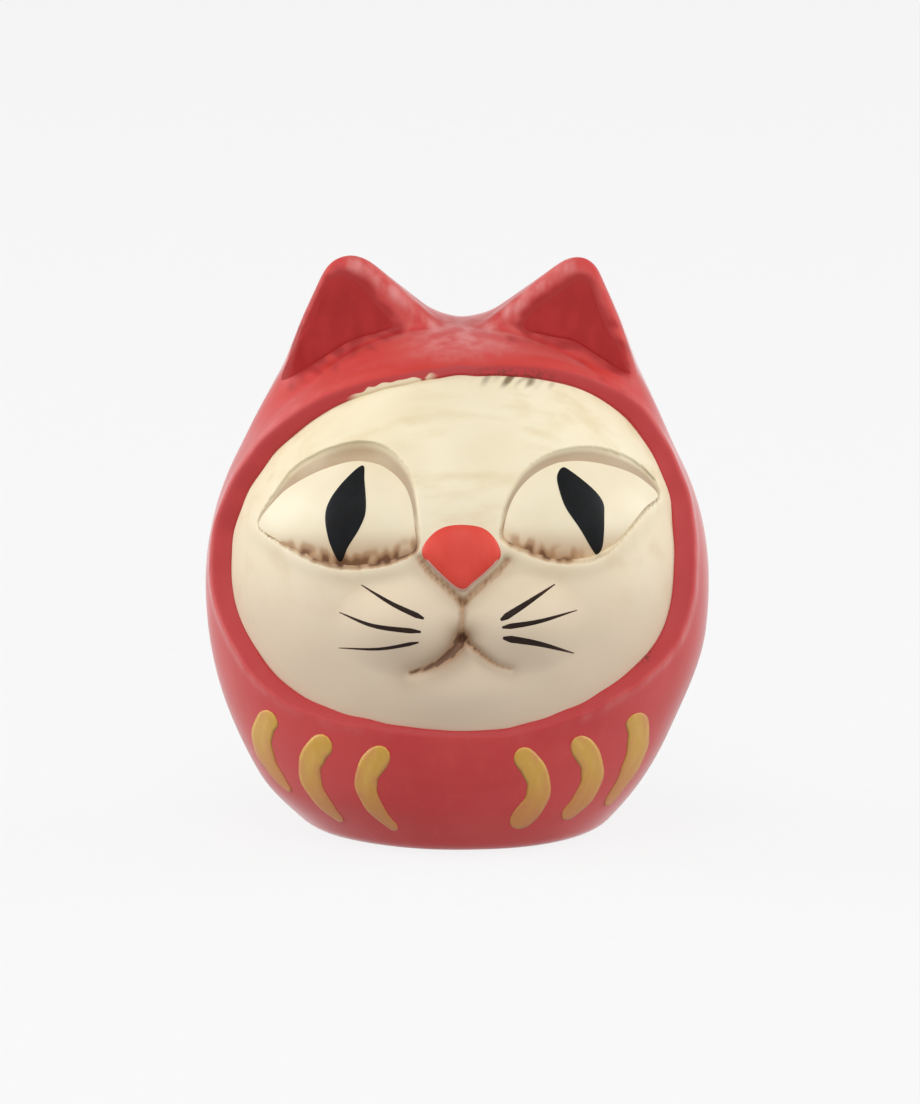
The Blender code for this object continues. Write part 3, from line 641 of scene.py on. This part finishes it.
def hood_marks(points, beyond):
    """Paint masks of the shell: dark ear fronts (darker red paint, partly painted shade of the hollowed
    fronts), warm brow, a painted pale-pink highlight on the rim's crests, crown and ear edges, painted
    shade down the rim's bevel, cream over the brow's edge and brown rubbing.

    beyond is each point's distance from the bottom of the rim's bevel.
    """
    spots = to_spots(points)
    angles, _, _ = opening_place(spots)
    front = smoothstep(-points[..., 1], -1.5, 0.5)
    # Dark ear fronts: the ears' darker red paint, partly painted shade of the hollowed fronts.
    facing = smoothstep(-points[..., 1] - 1.4 - 0.25 * (76.0 - points[..., 2]), -1.2, 0.0)
    dark = np.zeros(front.shape)
    for outline in EAR_FRONTS.values():
        foot = smoothstep(70.5 - spots[..., 1], 0.0, 3.0)
        gap = signed_gap(spots, outline) + (0.2 + 0.7 * foot) * wobble(spots, 2.2, 5)
        dark = np.maximum(dark, (1.0 - smoothstep(gap, -0.5 - 0.3 * foot, 0.8 + 0.6 * foot)) * facing)
    warm = smoothstep(spots[..., 1], 52.0, 62.0) * front * (1.0 - 0.5 * dark)
    _, width = rim_size(angles)
    sides = np.cos(angles) ** 2
    # Painted highlight: pale pink along the rim's crest at the sides, over the crown and on the ears' inner
    # edges.
    crest = bell(beyond - width - 0.7, 0.9) * front * sides
    crown = bell(points[..., 0] - 0.5, 8.0) * smoothstep(points[..., 2], 66.0, 69.5) * 0.8
    ears = np.maximum(ear_edge(points, -1.0), ear_edge(points, 1.0))
    painted_sheen = np.maximum(np.maximum(crest * 0.5, crown), ears)
    above = smoothstep(bell(spots[..., 0] - 8.0, 7.0), 0.2, 0.9) * (spots[..., 1] > BROW_ABOVE)
    low_right = bell(np.hypot(spots[..., 0] - 25.2, spots[..., 1] - 24.0), 1.3)
    rub = bell(beyond, 0.6) * front * np.maximum(above * 0.6, low_right)
    # Painted shade: darker red down the rim's bevel, which faces in towards the face.
    bevel = (1.0 - smoothstep(beyond, width * 0.55, width * 1.1)) * front
    ragged = beyond + 0.28 * wobble(spots, 2.4, 9)
    cream = (1.0 - smoothstep(ragged, 0.12, 0.42)) * bell(spots[..., 0] + 8.8, 5.2)
    cream *= spots[..., 1] > BROW_ABOVE
    return {"dark": dark, "warm": warm, "painted_sheen": painted_sheen, "rub": rub, "bevel": bevel, "cream": cream * front}


def ear_edge(points, side):
    """Painted highlight: 1 along the inner side of one ear's front, fading within a millimetre or so."""
    band = bell(ear_edges(points, side)[2] + 0.9, 1.1) * smoothstep(points[..., 2], 66.0, 71.0)
    across = side * points[..., 0]
    inner = 1.0 - smoothstep(across, 13.5, 18.0)
    return band * (0.25 + 0.75 * inner) * smoothstep(-points[..., 1], -2.5, 0.5)


def front_shell(material):
    """Front half of the shell: rays swing from the hood opening to the seam, with a bevelled rim.

    Rows crowd at the rim and over the ears; the bevel is a quarter sine of the distance from its foot.
    """
    rim, seam = seam_turns()
    rim /= np.linalg.norm(rim, axis=1)[:, None]
    even = np.linspace(0.0, 1.0, 400)
    crowd = RIM_ROWS[1] * bell(even, RIM_ROWS[0]) + EAR_ROWS[2] * bell(even - EAR_ROWS[0], EAR_ROWS[1])
    spent = np.cumsum(1.0 + crowd)
    swing = np.interp(np.linspace(spent[0], spent[-1], SHELL_ROWS), spent, even)
    swing = np.append(swing[:-1], [SEAM_STEP, 1.0])[:, None, None]
    skin = leave_core(rim[None] * (1.0 - swing) + seam[None] * swing)
    angles, _, _ = opening_place(to_spots(skin))
    beyond = np.linalg.norm(skin - skin[:1], axis=-1)
    depth, width = rim_size(angles)
    curl = np.sin(math.pi / 2.0 * (beyond / width).clip(0.0, 1.0))
    lip = LIP_RISE * bell(beyond - width, LIP_SPREAD) * (0.3 + 0.7 * np.cos(angles) ** 2)
    roll = ROLL_RISE * bell(beyond - ROLL_PLACE, ROLL_SPREAD) * np.sin(angles).clip(0.0) ** 2
    skin = skin + egg_normal(skin) * (lip + roll - depth * (1.0 - curl))[..., None]
    tuck = skin[:1] - egg_normal(skin[:1]) * np.linspace(*TUCK)[:, None, None]
    rows = np.concatenate([tuck, skin, inner_wall(skin, INNER_THINNING)])
    reach = np.concatenate([0.0 * tuck[..., 0], beyond, beyond[::-INNER_THINNING]])
    piece = mesh_piece("hood_front", rows, material, loop=True, marks=hood_marks(rows, reach))
    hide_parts("shell_front")
    return piece


def back_shell(material):
    """Back half of the shell: rays swing from the seam to the middle of the back."""
    _, seam = seam_turns()
    swing = np.append([0.0, 1.0 - SEAM_STEP], np.linspace(0.006, 0.985, BACK_ROWS))
    swing = swing[:, None, None] * math.pi / 2.0
    skin = leave_core(seam[None] * np.cos(swing) + np.array([0.0, 1.0, 0.0]) * np.sin(swing))
    rows = np.concatenate([inner_wall(skin, INNER_THINNING), skin])
    marks = hood_marks(rows, np.full(rows.shape[:-1], HALF_WIDTH))
    piece = mesh_piece("hood_back", rows, material, poles=(True, True), marks=marks)
    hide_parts("shell_back")
    return piece


def patch(name, outline, middle, surface, material, node, rings=24, grow=0.0):
    """Closed lens over an outline: rings shrink to the middle on top and come back underneath.

    surface(spots, share, top) gives the points; share runs from 0 in the middle to 1 at the edge.
    """
    edge = curve(outline, closed=True, steps=12) - np.array(middle)
    edge *= (1.0 + grow / np.hypot(edge[:, 0], edge[:, 1]))[:, None]
    share = np.sin(np.linspace(0.03, 1.0, rings) * math.pi / 2.0)
    over = np.array(middle) + edge[None] * share[:, None, None]
    under_share = share[::-3]
    under = np.array(middle) + edge[None] * under_share[:, None, None]
    shares = np.concatenate([share, under_share])[:, None] * np.ones(len(edge))
    spots = np.concatenate([over, under])
    top = np.arange(len(spots))[:, None] < rings
    points, marks = surface(spots, shares, np.broadcast_to(top, shares.shape))
    piece = mesh_piece(name, points, material, poles=(True, True), marks=marks)
    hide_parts(node)
    return piece


def face_panel(material):
    """Cream face inside the hood opening: rings from its middle to just under the rim."""
    turns = np.linspace(0.0, 2.0 * math.pi, FACE_COLUMNS, endpoint=False)
    edge = opening_reach(turns)[:, None] * np.stack([np.cos(turns), np.sin(turns)], -1)
    first, crowded, last = FACE_SHARES
    share = np.concatenate([np.linspace(first, crowded, FACE_RINGS, endpoint=False),
                            np.linspace(crowded, last, FACE_EDGE_RINGS)])
    spots = OPENING_CENTRE + edge[None] * share[:, None, None]
    points, wash_and_shade, painted_shade = face_points(spots)
    behind = points[::-FACE_THINNING]
    back = behind - egg_normal(behind) * FACE_THICKNESS
    rows = np.concatenate([points, back])
    seen = to_spots(rows)
    _, _, beyond = opening_place(seen)
    slanted = seen @ np.array([[0.80, 0.60], [-0.60, 0.80]])
    rub = bell(seen[..., 0] - 7.8, 5.5) * bell(beyond + 0.6, 1.3) * streaks(slanted, 1.5, 4.0, 17)
    rub *= seen[..., 1] > BROW_ABOVE
    # Darker, pinker beige towards the bottom of the face: painted shade of the light from above, with a
    # pinker tone.
    low = 1.0 - smoothstep(seen[..., 1], 22.0, 50.0)
    marks = {"wash_and_shade": np.concatenate([wash_and_shade, wash_and_shade[::-FACE_THINNING]]),
             "painted_shade": np.concatenate([painted_shade, painted_shade[::-FACE_THINNING]]), "rub": rub, "low": low}
    piece = mesh_piece("face", rows, material, poles=(True, True), marks=marks)
    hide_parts("face_panel")
    return piece


def eye_surface(word):
    """Surface maker for one eyeball."""
    def surface(spots, share, top):
        height = eye_height(spots, word) - EYE_THICKNESS * ~top
        middle = EYE_MIDDLES[word]
        low = middle[1] - spots[..., 1]
        drag = streaks(spots, 1.2, 3.6, 21)
        inner_half = smoothstep(abs(middle[0]) + 1.5 - np.abs(spots[..., 0]), -1.0, 3.0)
        reach = 1.0 if word == "left" else inner_half
        bottom = smoothstep(low, 1.6, 5.6) * smoothstep(share, 0.55, 0.95) * reach
        # painted_shade darkens the eyeball towards its downturned bottom; wash_and_shade here is the brown
        # wash in the gouges.
        marks = {"wash_and_shade": (bottom * (0.25 + 0.75 * drag) * 1.2).clip(0.0, 1.0),
                 "painted_shade": smoothstep(low, 0.0, 5.5) * 0.7}
        return raised(spots, height - GOUGE_DEPTH * bottom * drag), marks
    return surface


def pupil_surface(word):
    """Surface maker for one pupil, a thin lens of black on the eyeball."""
    def surface(spots, share, top):
        lift = np.where(top, PUPIL_RISE * np.sqrt(1.0 - share ** 4) + PUPIL_EDGE, -PUPIL_BURIED)
        return raised(spots, eye_height(spots, word) + lift), {}
    return surface


def nose_surface(spots, share, top):
    """Nose: a dome with steep sides; under marks its bare lower edge."""
    dome = NOSE_RISE * np.sqrt((1.0 - share ** NOSE_FULLNESS).clip(0.0))
    height = np.where(top, dome - NOSE_SINK, -NOSE_BURIED)
    under = smoothstep(share, 0.90, 0.95) * smoothstep(NOSE_CENTRE[1] - spots[..., 1], 0.2, 1.2)
    return raised(spots, height), {"under": under}


def ear_surface(spots, share, top):
    """Dark skin on the front of an ear, a thin coat that sinks in at its edge."""
    base = lay_on(spots, skin_field)
    lift = np.where(top, EAR_COAT - EAR_COAT_DROP * share ** 12, -EAR_COAT_BURIED)
    return base + EAR_COAT_WAY * lift[..., None], {"brink": share ** 4}


def stroke(name, path, half_widths, surface, thick, material):
    """Brush stroke: a low dome of paint carried along a path, with a flat buried underside."""
    run = np.gradient(path, axis=0)
    run /= np.linalg.norm(run, axis=1)[:, None]
    side = np.stack([-run[:, 1], run[:, 0]], -1)
    across = np.concatenate([np.linspace(-1.0, 1.0, STROKE_TOP), np.linspace(0.75, -0.75, STROKE_UNDER)])
    on_top = np.arange(len(across)) < STROKE_TOP
    lift = np.where(on_top, thick * np.sqrt(1.0 - STROKE_FALL * across ** 2), -STROKE_BURIED)
    spots = path[:, None] + side[:, None] * (half_widths[:, None] * across)[..., None]
    points = surface(spots, np.broadcast_to(lift, spots.shape[:-1]))
    marks = {"across": np.broadcast_to(across, spots.shape[:-1]).copy(),
             "along": np.broadcast_to(np.linspace(0.0, 1.0, len(path))[:, None], spots.shape[:-1]).copy()}
    piece = mesh_piece(name, points, material, poles=(True, True), marks=marks)
    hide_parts(name.replace("brush_", ""))
    return piece


def whisker(name, root, bend, tip, half, material):
    """Whisker stroke: half width grows over the first tenth, then thins to a point as t^1.8."""
    path = curve((root, bend, tip), steps=24)
    t = np.linspace(0.0, 1.0, len(path))
    widths = half * np.minimum(1.0, 0.35 + 6.0 * t) * (1.0 - t ** 1.8 * 0.9) + 0.02
    return stroke("brush_" + name, path, widths,
                  lambda spots, lift: face_points(spots, lift)[0], WHISKER_THICKNESS, material)


def stripe(name, start, bend, end, wide, narrow, material):
    """Gold stroke: quadratic curve from start towards bend and back to end, round ended, thinning."""
    t = np.linspace(0.0, 1.0, 60)
    ends = np.array([start, bend, end])
    weights = np.stack([(1.0 - t) ** 2, 2.0 * t * (1.0 - t), t ** 2], -1)
    path = weights @ ends
    length = np.linalg.norm(np.diff(path, axis=0), axis=1).sum()
    widths = wide + (narrow - wide) * t ** 2.2
    for distance, radius in ((t * length, wide), ((1.0 - t) * length, narrow)):
        near = (distance / radius).clip(0.0, 1.0)
        widths = widths * np.sqrt(1.0 - (1.0 - near) ** 2 * 0.96)
    widths += 0.05 * np.sin(t * 23.0 + start[0])

    def surface(spots, lift):
        return lay_on(spots, lambda points: skin_field(points) - lift)

    return stroke("brush_" + name, path, widths, surface, STRIPE_THICKNESS, material)


# ---------------------------------------------------------------- materials

def linear(code):
    """sRGB hex to linear RGBA."""
    parts = [int(code[start:start + 2], 16) / 255.0 for start in (1, 3, 5)]
    return (*[c / 12.92 if c <= 0.04045 else ((c + 0.055) / 1.055) ** 2.4 for c in parts], 1.0)


def add(tree, kind, inputs=None, out=0, **settings):
    """Add one node and give back one output; inputs maps sockets to values or to other outputs."""
    made = tree.nodes.new(kind)
    for key, value in settings.items():
        setattr(made, key, value)
    for key, value in (inputs or {}).items():
        if isinstance(value, bpy.types.NodeSocket):
            tree.links.new(value, made.inputs[key])
        else:
            made.inputs[key].default_value = value
    return made.outputs[out]


def start_finish(name, roughness, grains, masks=()):
    """New finish: its tree and shader, noise patterns by size in mm and stretch, and mesh masks."""
    material = bpy.data.materials.new(name)
    material.use_nodes = True
    tree = material.node_tree
    shader = tree.nodes["Principled BSDF"]
    shader.inputs["Roughness"].default_value = roughness
    place = add(tree, "ShaderNodeTexCoord", out="Object")
    patterns = {}
    for word, (millimetres, detail, stretch) in grains.items():
        stretched = add(tree, "ShaderNodeMapping", {"Vector": place, "Scale": stretch})
        patterns[word] = add(tree, "ShaderNodeTexNoise", {"Vector": stretched, "Detail": detail,
                                                          "Scale": 1000.0 / millimetres})
    for word in masks:
        patterns[word] = add(tree, "ShaderNodeAttribute", out="Fac", attribute_name=word)
    return material, tree, shader, patterns


def coat(tree, under, colour, pattern, low, high, most=1.0, mask=None):
    """Lay a colour over another where a pattern rises from low to high, at most so much, in a mask."""
    share = add(tree, "ShaderNodeMapRange", {"Value": pattern, "From Min": low, "From Max": high,
                                             "To Max": most}, interpolation_type="SMOOTHSTEP")
    if mask is not None:
        share = add(tree, "ShaderNodeMath", {0: share, 1: mask}, operation="MULTIPLY")
    return add(tree, "ShaderNodeMix", {0: share, 6: under, 7: linear(colour)}, 2, data_type="RGBA")


def end_finish(tree, shader, colour, coarse, fine, strength, millimetres):
    """Join the colour to the shader, with a bump of a coarse pattern and a third of a fine one."""
    tree.links.new(colour, shader.inputs["Base Color"])
    height = add(tree, "ShaderNodeMath", {0: fine, 1: 0.33, 2: coarse}, operation="MULTIPLY_ADD")
    normal = add(tree, "ShaderNodeBump", {"Height": height, "Strength": strength,
                                          "Distance": millimetres * MM})
    tree.links.new(normal, shader.inputs["Normal"])


def hood_paint():
    """Iron-red pigment in animal glue, brushed over paper and shell paste: matt, streaky, rubbed; with
    painted shade down the rim's bevel and on the ear fronts, and a painted pale-pink highlight on crests,
    crown and ear edges.
    """
    grains = {"streak": (2.4, 4.0, (1.0, 1.0, 0.35)), "cloud": (14.0, 2.0, (1.0, 1.0, 1.0)),
              "fine": (0.5, 2.0, (1.0, 1.0, 1.0))}
    material, tree, shader, is_ = start_finish("hood_paint", 0.50, grains,
                                               ("dark", "warm", "painted_sheen", "rub", "bevel", "cream"))
    shader.inputs["Specular IOR Level"].default_value = 0.25
    shader.inputs["Sheen Weight"].default_value = 0.80
    shader.inputs["Sheen Roughness"].default_value = 0.28
    colour = coat(tree, linear("#c83f40"), "#ce4848", is_["cloud"], 0.35, 0.68)
    colour = coat(tree, colour, "#d2514c", is_["streak"], 0.50, 0.75, 0.35)
    colour = coat(tree, colour, "#c6342c", is_["streak"], 0.15, 0.60, 1.0, is_["warm"])
    # Painted shade down the rim's bevel.
    colour = coat(tree, colour, "#ab3234", is_["cloud"], 0.0, 0.4, 0.8, is_["bevel"])
    # Pale pink painted highlight on crests, crown and ear edges.
    colour = coat(tree, colour, "#e19390", is_["streak"], 0.30, 0.70, 0.8, is_["painted_sheen"])
    # Dark ear fronts: darker red paint, partly painted shade.
    colour = coat(tree, colour, "#a01a18", is_["cloud"], 0.0, 0.3, 1.0, is_["dark"])
    colour = coat(tree, colour, "#e6d2b2", is_["cream"], 0.2, 0.5)
    colour = coat(tree, colour, "#4e3124", is_["fine"], 0.45, 0.62, 0.85, is_["rub"])
    end_finish(tree, shader, colour, is_["streak"], is_["fine"], 0.30, 0.10)
    return material


def ear_paint():
    """The same red laid on thicker and darker in the ears, the darkness partly painted shade of the
    hollowed fronts: matt, faintly streaked.
    """
    grains = {"streak": (2.0, 4.0, (1.0, 1.0, 0.4)), "fine": (0.5, 2.0, (1.0, 1.0, 1.0))}
    material, tree, shader, is_ = start_finish("ear_paint", 0.62, grains, ("brink",))
    shader.inputs["Specular IOR Level"].default_value = 0.2
    colour = coat(tree, linear("#9e1b19"), "#aa2321", is_["streak"], 0.35, 0.70)
    colour = coat(tree, colour, "#a01a18", is_["streak"], 0.35, 0.60, 0.5, is_["brink"])
    end_finish(tree, shader, colour, is_["streak"], is_["fine"], 0.30, 0.10)
    return material


def face_paste():
    """Gofun, ground shell in glue, tinted cream: chalky and matt, with brown wash left in hollows, and
    painted shade in the lid bands, round the grooves and towards the bottom of the face.
    """
    grains = {"streak": (3.6, 4.0, (0.30, 1.0, 1.0)), "cloud": (12.0, 2.0, (1.0, 1.0, 1.0)),
              "speck": (0.6, 3.0, (1.0, 1.0, 1.0))}
    material, tree, shader, is_ = start_finish("face_paste", 0.60, grains,
                                               ("wash_and_shade", "painted_shade", "rub", "low"))
    colour = coat(tree, linear("#e9dbb8"), "#efe4c5", is_["cloud"], 0.32, 0.68)
    colour = coat(tree, colour, "#dac596", is_["streak"], 0.45, 0.75, 0.6)
    # Lower face: painted shade of the light from above, with a pinker tone.
    colour = coat(tree, colour, "#dac6ad", is_["cloud"], 0.0, 0.3, 0.95, is_["low"])
    # Brown painted shade in the upper lid bands and round the grooves.
    colour = coat(tree, colour, "#8f6a4a", is_["cloud"], 0.05, 0.4, 0.75, is_["painted_shade"])
    colour = coat(tree, colour, "#6f5a3a", is_["rub"], 0.10, 0.90, 0.9)
    # Brown wash in grooves and gouges, deepened as painted shade into the upper lid creases.
    colour = coat(tree, colour, "#b18a66", is_["wash_and_shade"], 0.05, 0.50, 0.8)
    colour = coat(tree, colour, "#6a4731", is_["wash_and_shade"], 0.45, 0.95, 0.95)
    end_finish(tree, shader, colour, is_["streak"], is_["speck"], 0.22, 0.10)
    return material


def eye_paste():
    """Finer, whiter shell paste burnished on the eyeballs, with brown wash in the lower gouges and painted
    shade darkening the downturned lower half.
    """
    grains = {"cloud": (9.0, 2.0, (1.0, 1.0, 1.0)), "speck": (0.7, 2.0, (1.0, 1.0, 1.0))}
    material, tree, shader, is_ = start_finish("eye_paste", 0.50, grains, ("wash_and_shade", "painted_shade"))
    colour = coat(tree, linear("#e6d8b8"), "#ece0c3", is_["cloud"], 0.32, 0.68)
    # Painted shade: browner towards the bottom of the eyeball, where the dome turns down from the light.
    colour = coat(tree, colour, "#c9a886", is_["painted_shade"], 0.0, 1.0, 0.9)
    colour = coat(tree, colour, "#b18a66", is_["wash_and_shade"], 0.05, 0.50, 0.8)
    colour = coat(tree, colour, "#7a553c", is_["wash_and_shade"], 0.50, 1.0, 0.9)
    end_finish(tree, shader, colour, is_["cloud"], is_["speck"], 0.20, 0.08)
    return material


def pupil_lacquer():
    """Black lacquer, brushed thick: near black, half gloss."""
    grains = {"streak": (1.5, 2.0, (1.0, 1.0, 0.5)), "fine": (0.5, 2.0, (1.0, 1.0, 1.0))}
    material, tree, shader, is_ = start_finish("pupil_lacquer", 0.45, grains)
    shader.inputs["Specular IOR Level"].default_value = 0.15
    colour = coat(tree, linear("#08090b"), "#0e1013", is_["streak"], 0.35, 0.70)
    end_finish(tree, shader, colour, is_["streak"], is_["fine"], 0.10, 0.05)
    return material


def nose_lacquer():
    """Vermilion in glue, laid on thick and even, with bare paste along the lower edge."""
    grains = {"streak": (2.5, 2.0, (1.0, 1.0, 0.5)), "fine": (0.5, 2.0, (1.0, 1.0, 1.0))}
    material, tree, shader, is_ = start_finish("nose_lacquer", 0.50, grains, ("under",))
    shader.inputs["Specular IOR Level"].default_value = 0.25
    colour = coat(tree, linear("#d84033"), "#dc493c", is_["streak"], 0.35, 0.70)
    colour = coat(tree, colour, "#cdaea2", is_["under"], 0.3, 0.8, 0.9)
    end_finish(tree, shader, colour, is_["streak"], is_["fine"], 0.12, 0.06)
    return material


def whisker_ink():
    """Brown-black ink with glue: matt, thinner where the brush lifts."""
    grains = {"streak": (1.2, 3.0, (0.4, 1.0, 1.0)), "fine": (0.4, 2.0, (1.0, 1.0, 1.0))}
    material, tree, shader, is_ = start_finish("whisker_ink", 0.55, grains, ("along",))
    shader.inputs["Specular IOR Level"].default_value = 0.15
    colour = coat(tree, linear("#1f110b"), "#2b1912", is_["streak"], 0.35, 0.70)
    colour = coat(tree, colour, "#54382a", is_["along"], 0.6, 1.0, 0.6)
    end_finish(tree, shader, colour, is_["streak"], is_["fine"], 0.15, 0.05)
    return material


def gold_paint():
    """Gold-coloured mineral paint, not leaf: opaque ochre, brush drag, red showing where it thins."""
    grains = {"drag": (1.6, 3.0, (1.0, 1.0, 0.22)), "fine": (0.5, 2.0, (1.0, 1.0, 1.0))}
    material, tree, shader, is_ = start_finish("gold_paint", 0.50, grains, ("across", "along"))
    edge = add(tree, "ShaderNodeMath", {0: is_["across"]}, operation="ABSOLUTE")
    colour = coat(tree, linear("#d2a040"), "#dcae52", is_["drag"], 0.35, 0.70)
    colour = coat(tree, colour, "#c77444", is_["along"], 0.25, 0.95, 0.7)
    colour = coat(tree, colour, "#c4694b", is_["drag"], 0.42, 0.66, 0.6, edge)
    end_finish(tree, shader, colour, is_["drag"], is_["fine"], 0.25, 0.08)
    return material


def inner_stock(name, light, dark, millimetres, roughness):
    """Unpainted stock of the inner pieces: fibrous paper or crumbly clay."""
    grains = {"blotch": (millimetres, 5.0, (1.0, 1.0, 1.0)),
              "fibre": (millimetres / 6.0, 3.0, (1.0, 0.3, 1.0))}
    material, tree, shader, is_ = start_finish(name, roughness, grains)
    colour = coat(tree, linear(dark), light, is_["blotch"], 0.35, 0.68)
    end_finish(tree, shader, colour, is_["blotch"], is_["fibre"], 0.5, 0.10)
    return material


def foot_paper():
    """Brown paper disc pasted under the foot, its edge painted over with the hood's red."""
    grains = {"blotch": (6.0, 5.0, (1.0, 1.0, 1.0)), "fibre": (1.0, 3.0, (1.0, 0.3, 1.0))}
    material, tree, shader, is_ = start_finish("foot_paper", 0.85, grains)
    height = add(tree, "ShaderNodeSeparateXYZ", {0: add(tree, "ShaderNodeTexCoord", out="Object")}, "Z")
    colour = coat(tree, linear("#b49e76"), "#cbb994", is_["blotch"], 0.35, 0.68)
    colour = coat(tree, colour, "#a83c3c", height, 0.05 * MM, 0.12 * MM)
    end_finish(tree, shader, colour, is_["blotch"], is_["fibre"], 0.4, 0.10)
    return material


def backdrop_paper():
    """White studio paper lit evenly from behind: matt, with a faint tooth.

    Most of its white is its own glow, so that it stays even; the grey on top takes the soft shadows.
    """
    grains = {"tooth": (4.0, 2.0, (1.0, 1.0, 1.0)), "fine": (1.0, 2.0, (1.0, 1.0, 1.0))}
    material, tree, shader, is_ = start_finish("backdrop_paper", 0.9, grains)
    colour = coat(tree, linear("#505050"), "#525252", is_["tooth"], 0.3, 0.7)
    shader.inputs["Specular IOR Level"].default_value = 0.0
    shader.inputs["Emission Color"].default_value = (1.0, 1.0, 1.0, 1.0)
    shader.inputs["Emission Strength"].default_value = BACKDROP_GLOW
    tree.links.new(colour, shader.inputs["Base Color"])
    return material


# ---------------------------------------------------------------- the doll

red = hood_paint()
front_shell(red)
back_shell(red)
face_panel(face_paste())

white = eye_paste()
black = pupil_lacquer()
for word, ball, pupil in (("left", BALL_LEFT, PUPIL_LEFT), ("right", BALL_RIGHT, PUPIL_RIGHT)):
    patch("eyeball_" + word, ball, EYE_MIDDLES[word], eye_surface(word), white, "eye_" + word, 40, 0.5)
    centre = np.mean(np.array(pupil), axis=0)
    patch("slit_" + word, pupil, centre, pupil_surface(word), black, "pupil_" + word)
patch("red_nose", NOSE, NOSE_CENTRE, nose_surface, nose_lacquer(), "nose", 60)

dark = ear_paint()
# Dark coats on the ear fronts: darker red paint, partly painted shade.
for word, outline in EAR_FRONTS.items():
    centre = np.mean(np.array(outline), axis=0)
    patch("ear_inside_" + word, outline, centre, ear_surface, dark, "ear_front_" + word, 40, -0.8)

brown = whisker_ink()
for name, values in WHISKERS.items():
    whisker(name, *values, brown)
gold = gold_paint()
for name, values in STRIPES.items():
    stripe(name, *values, gold)

for node, material in (("base_cover", foot_paper()),
                       ("seam_strip", inner_stock("strip_paper", "#d8ccb0", "#c7b894", 5.0, 0.85)),
                       ("base_weight", inner_stock("clay", "#8a6d55", "#6f5542", 4.0, 0.95))):
    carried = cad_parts[node]
    carried.data.materials.clear()
    carried.data.materials.append(material)


# ---------------------------------------------------------------- floor, light and camera

# Softboxes: the point that they face, then place and side in metres and power in watts
LIGHT_AIM = np.array([0.0, 0.0, 0.04])
LIGHTS = {
    "key": ((-0.10, -0.75, 1.05), 0.7, 5.8),
    "fill": ((0.25, -1.10, 0.25), 1.0, 4.2),
    "right_edge": ((1.00, 0.25, 0.30), 0.5, 4.5),
    "left_edge": ((-1.00, 0.20, 0.30), 0.5, 6.0),
}

# Sweep: flat reach, radius of the bend and height of the wall, in millimetres
SWEEP_FLAT = 1500.0
SWEEP_BEND = 600.0
SWEEP_WALL = 3000.0

# Daylight of the room: strength from below and from above
ROOM_LOW = 0.44
ROOM_HIGH = 0.50


def sweep_floor(material):
    """Studio sweep: a flat disc, a quarter circle up and a wall, turned once round the doll."""
    bend = np.linspace(0.0, math.pi / 2.0, 24)
    reach = np.concatenate([[0.001, 300.0], SWEEP_FLAT + SWEEP_BEND * np.sin(bend),
                            [SWEEP_FLAT + SWEEP_BEND]])
    z = np.concatenate([[0.0, 0.0], SWEEP_BEND * (1.0 - np.cos(bend)), [SWEEP_WALL]])
    turn = np.linspace(0.0, 2.0 * math.pi, 96, endpoint=False)
    points = np.stack(np.broadcast_arrays(reach[:, None] * np.cos(turn), reach[:, None] * np.sin(turn),
                                          z[:, None]), -1).reshape(-1, 3) * MM
    row = np.arange(len(z) - 1)[:, None] * len(turn)
    column = np.arange(len(turn))[None, :]
    beside = (column + 1) % len(turn)
    faces = np.stack([row + column, row + len(turn) + column, row + len(turn) + beside, row + beside],
                     axis=-1).reshape(-1, 4)
    mesh = bpy.data.meshes.new("studio_sweep")
    mesh.from_pydata(points.tolist(), [], faces.tolist())
    mesh.shade_smooth()
    mesh.materials.append(material)
    floor = bpy.data.objects.new("studio_sweep", mesh)
    bpy.context.scene.collection.objects.link(floor)
    floor.visible_diffuse = False


def softbox(name, place, size, watts):
    """Square area light that faces the doll's middle."""
    light = bpy.data.lights.new(name, "AREA")
    light.size = size
    light.energy = watts
    lamp = bpy.data.objects.new(name, light)
    place = np.array(place)
    aim = LIGHT_AIM - place
    aim /= np.linalg.norm(aim)
    back = -aim
    side = np.cross([0.0, 0.0, 1.0], back)
    side /= np.linalg.norm(side)
    matrix = np.eye(4)
    matrix[:3, :3] = np.stack([side, np.cross(back, side), back], axis=1)
    matrix[:3, 3] = place
    lamp.matrix_world = Matrix(matrix.tolist())
    bpy.context.scene.collection.objects.link(lamp)


sweep_floor(backdrop_paper())
for name, values in LIGHTS.items():
    softbox(name, *values)

world = bpy.data.worlds.new("studio")
world.use_nodes = True
tree = world.node_tree
tree.nodes["Background"].inputs["Color"].default_value = linear("#f8f8f8")
heading = add(tree, "ShaderNodeSeparateXYZ", {0: add(tree, "ShaderNodeTexCoord")}, "Z")
glow = add(tree, "ShaderNodeMapRange", {"Value": heading, "From Min": -1.0, "To Min": ROOM_LOW,
                                        "To Max": ROOM_HIGH})
tree.links.new(glow, tree.nodes["Background"].inputs["Strength"])
bpy.context.scene.world = world

lens = bpy.data.cameras.new("camera")
lens.sensor_fit = "VERTICAL"
lens.sensor_height = SENSOR
lens.lens = SENSOR * CAMERA_REACH / PLANE_HEIGHT
lens.clip_start = 0.05
lens.clip_end = 20.0
camera = bpy.data.objects.new("camera", lens)
aim_at = AIM[0] * ACROSS + AIM[1] * UPWARD + np.array([0.0, MIDDLE_Y, 0.0])
placed = np.eye(4)
placed[:3, :3] = np.stack([ACROSS, UPWARD, TOWARDS], axis=1)
placed[:3, 3] = (aim_at + TOWARDS * CAMERA_REACH) * MM
camera.matrix_world = Matrix(placed.tolist())
bpy.context.scene.collection.objects.link(camera)
bpy.context.scene.camera = camera
bpy.context.scene.view_settings.view_transform = "Standard"
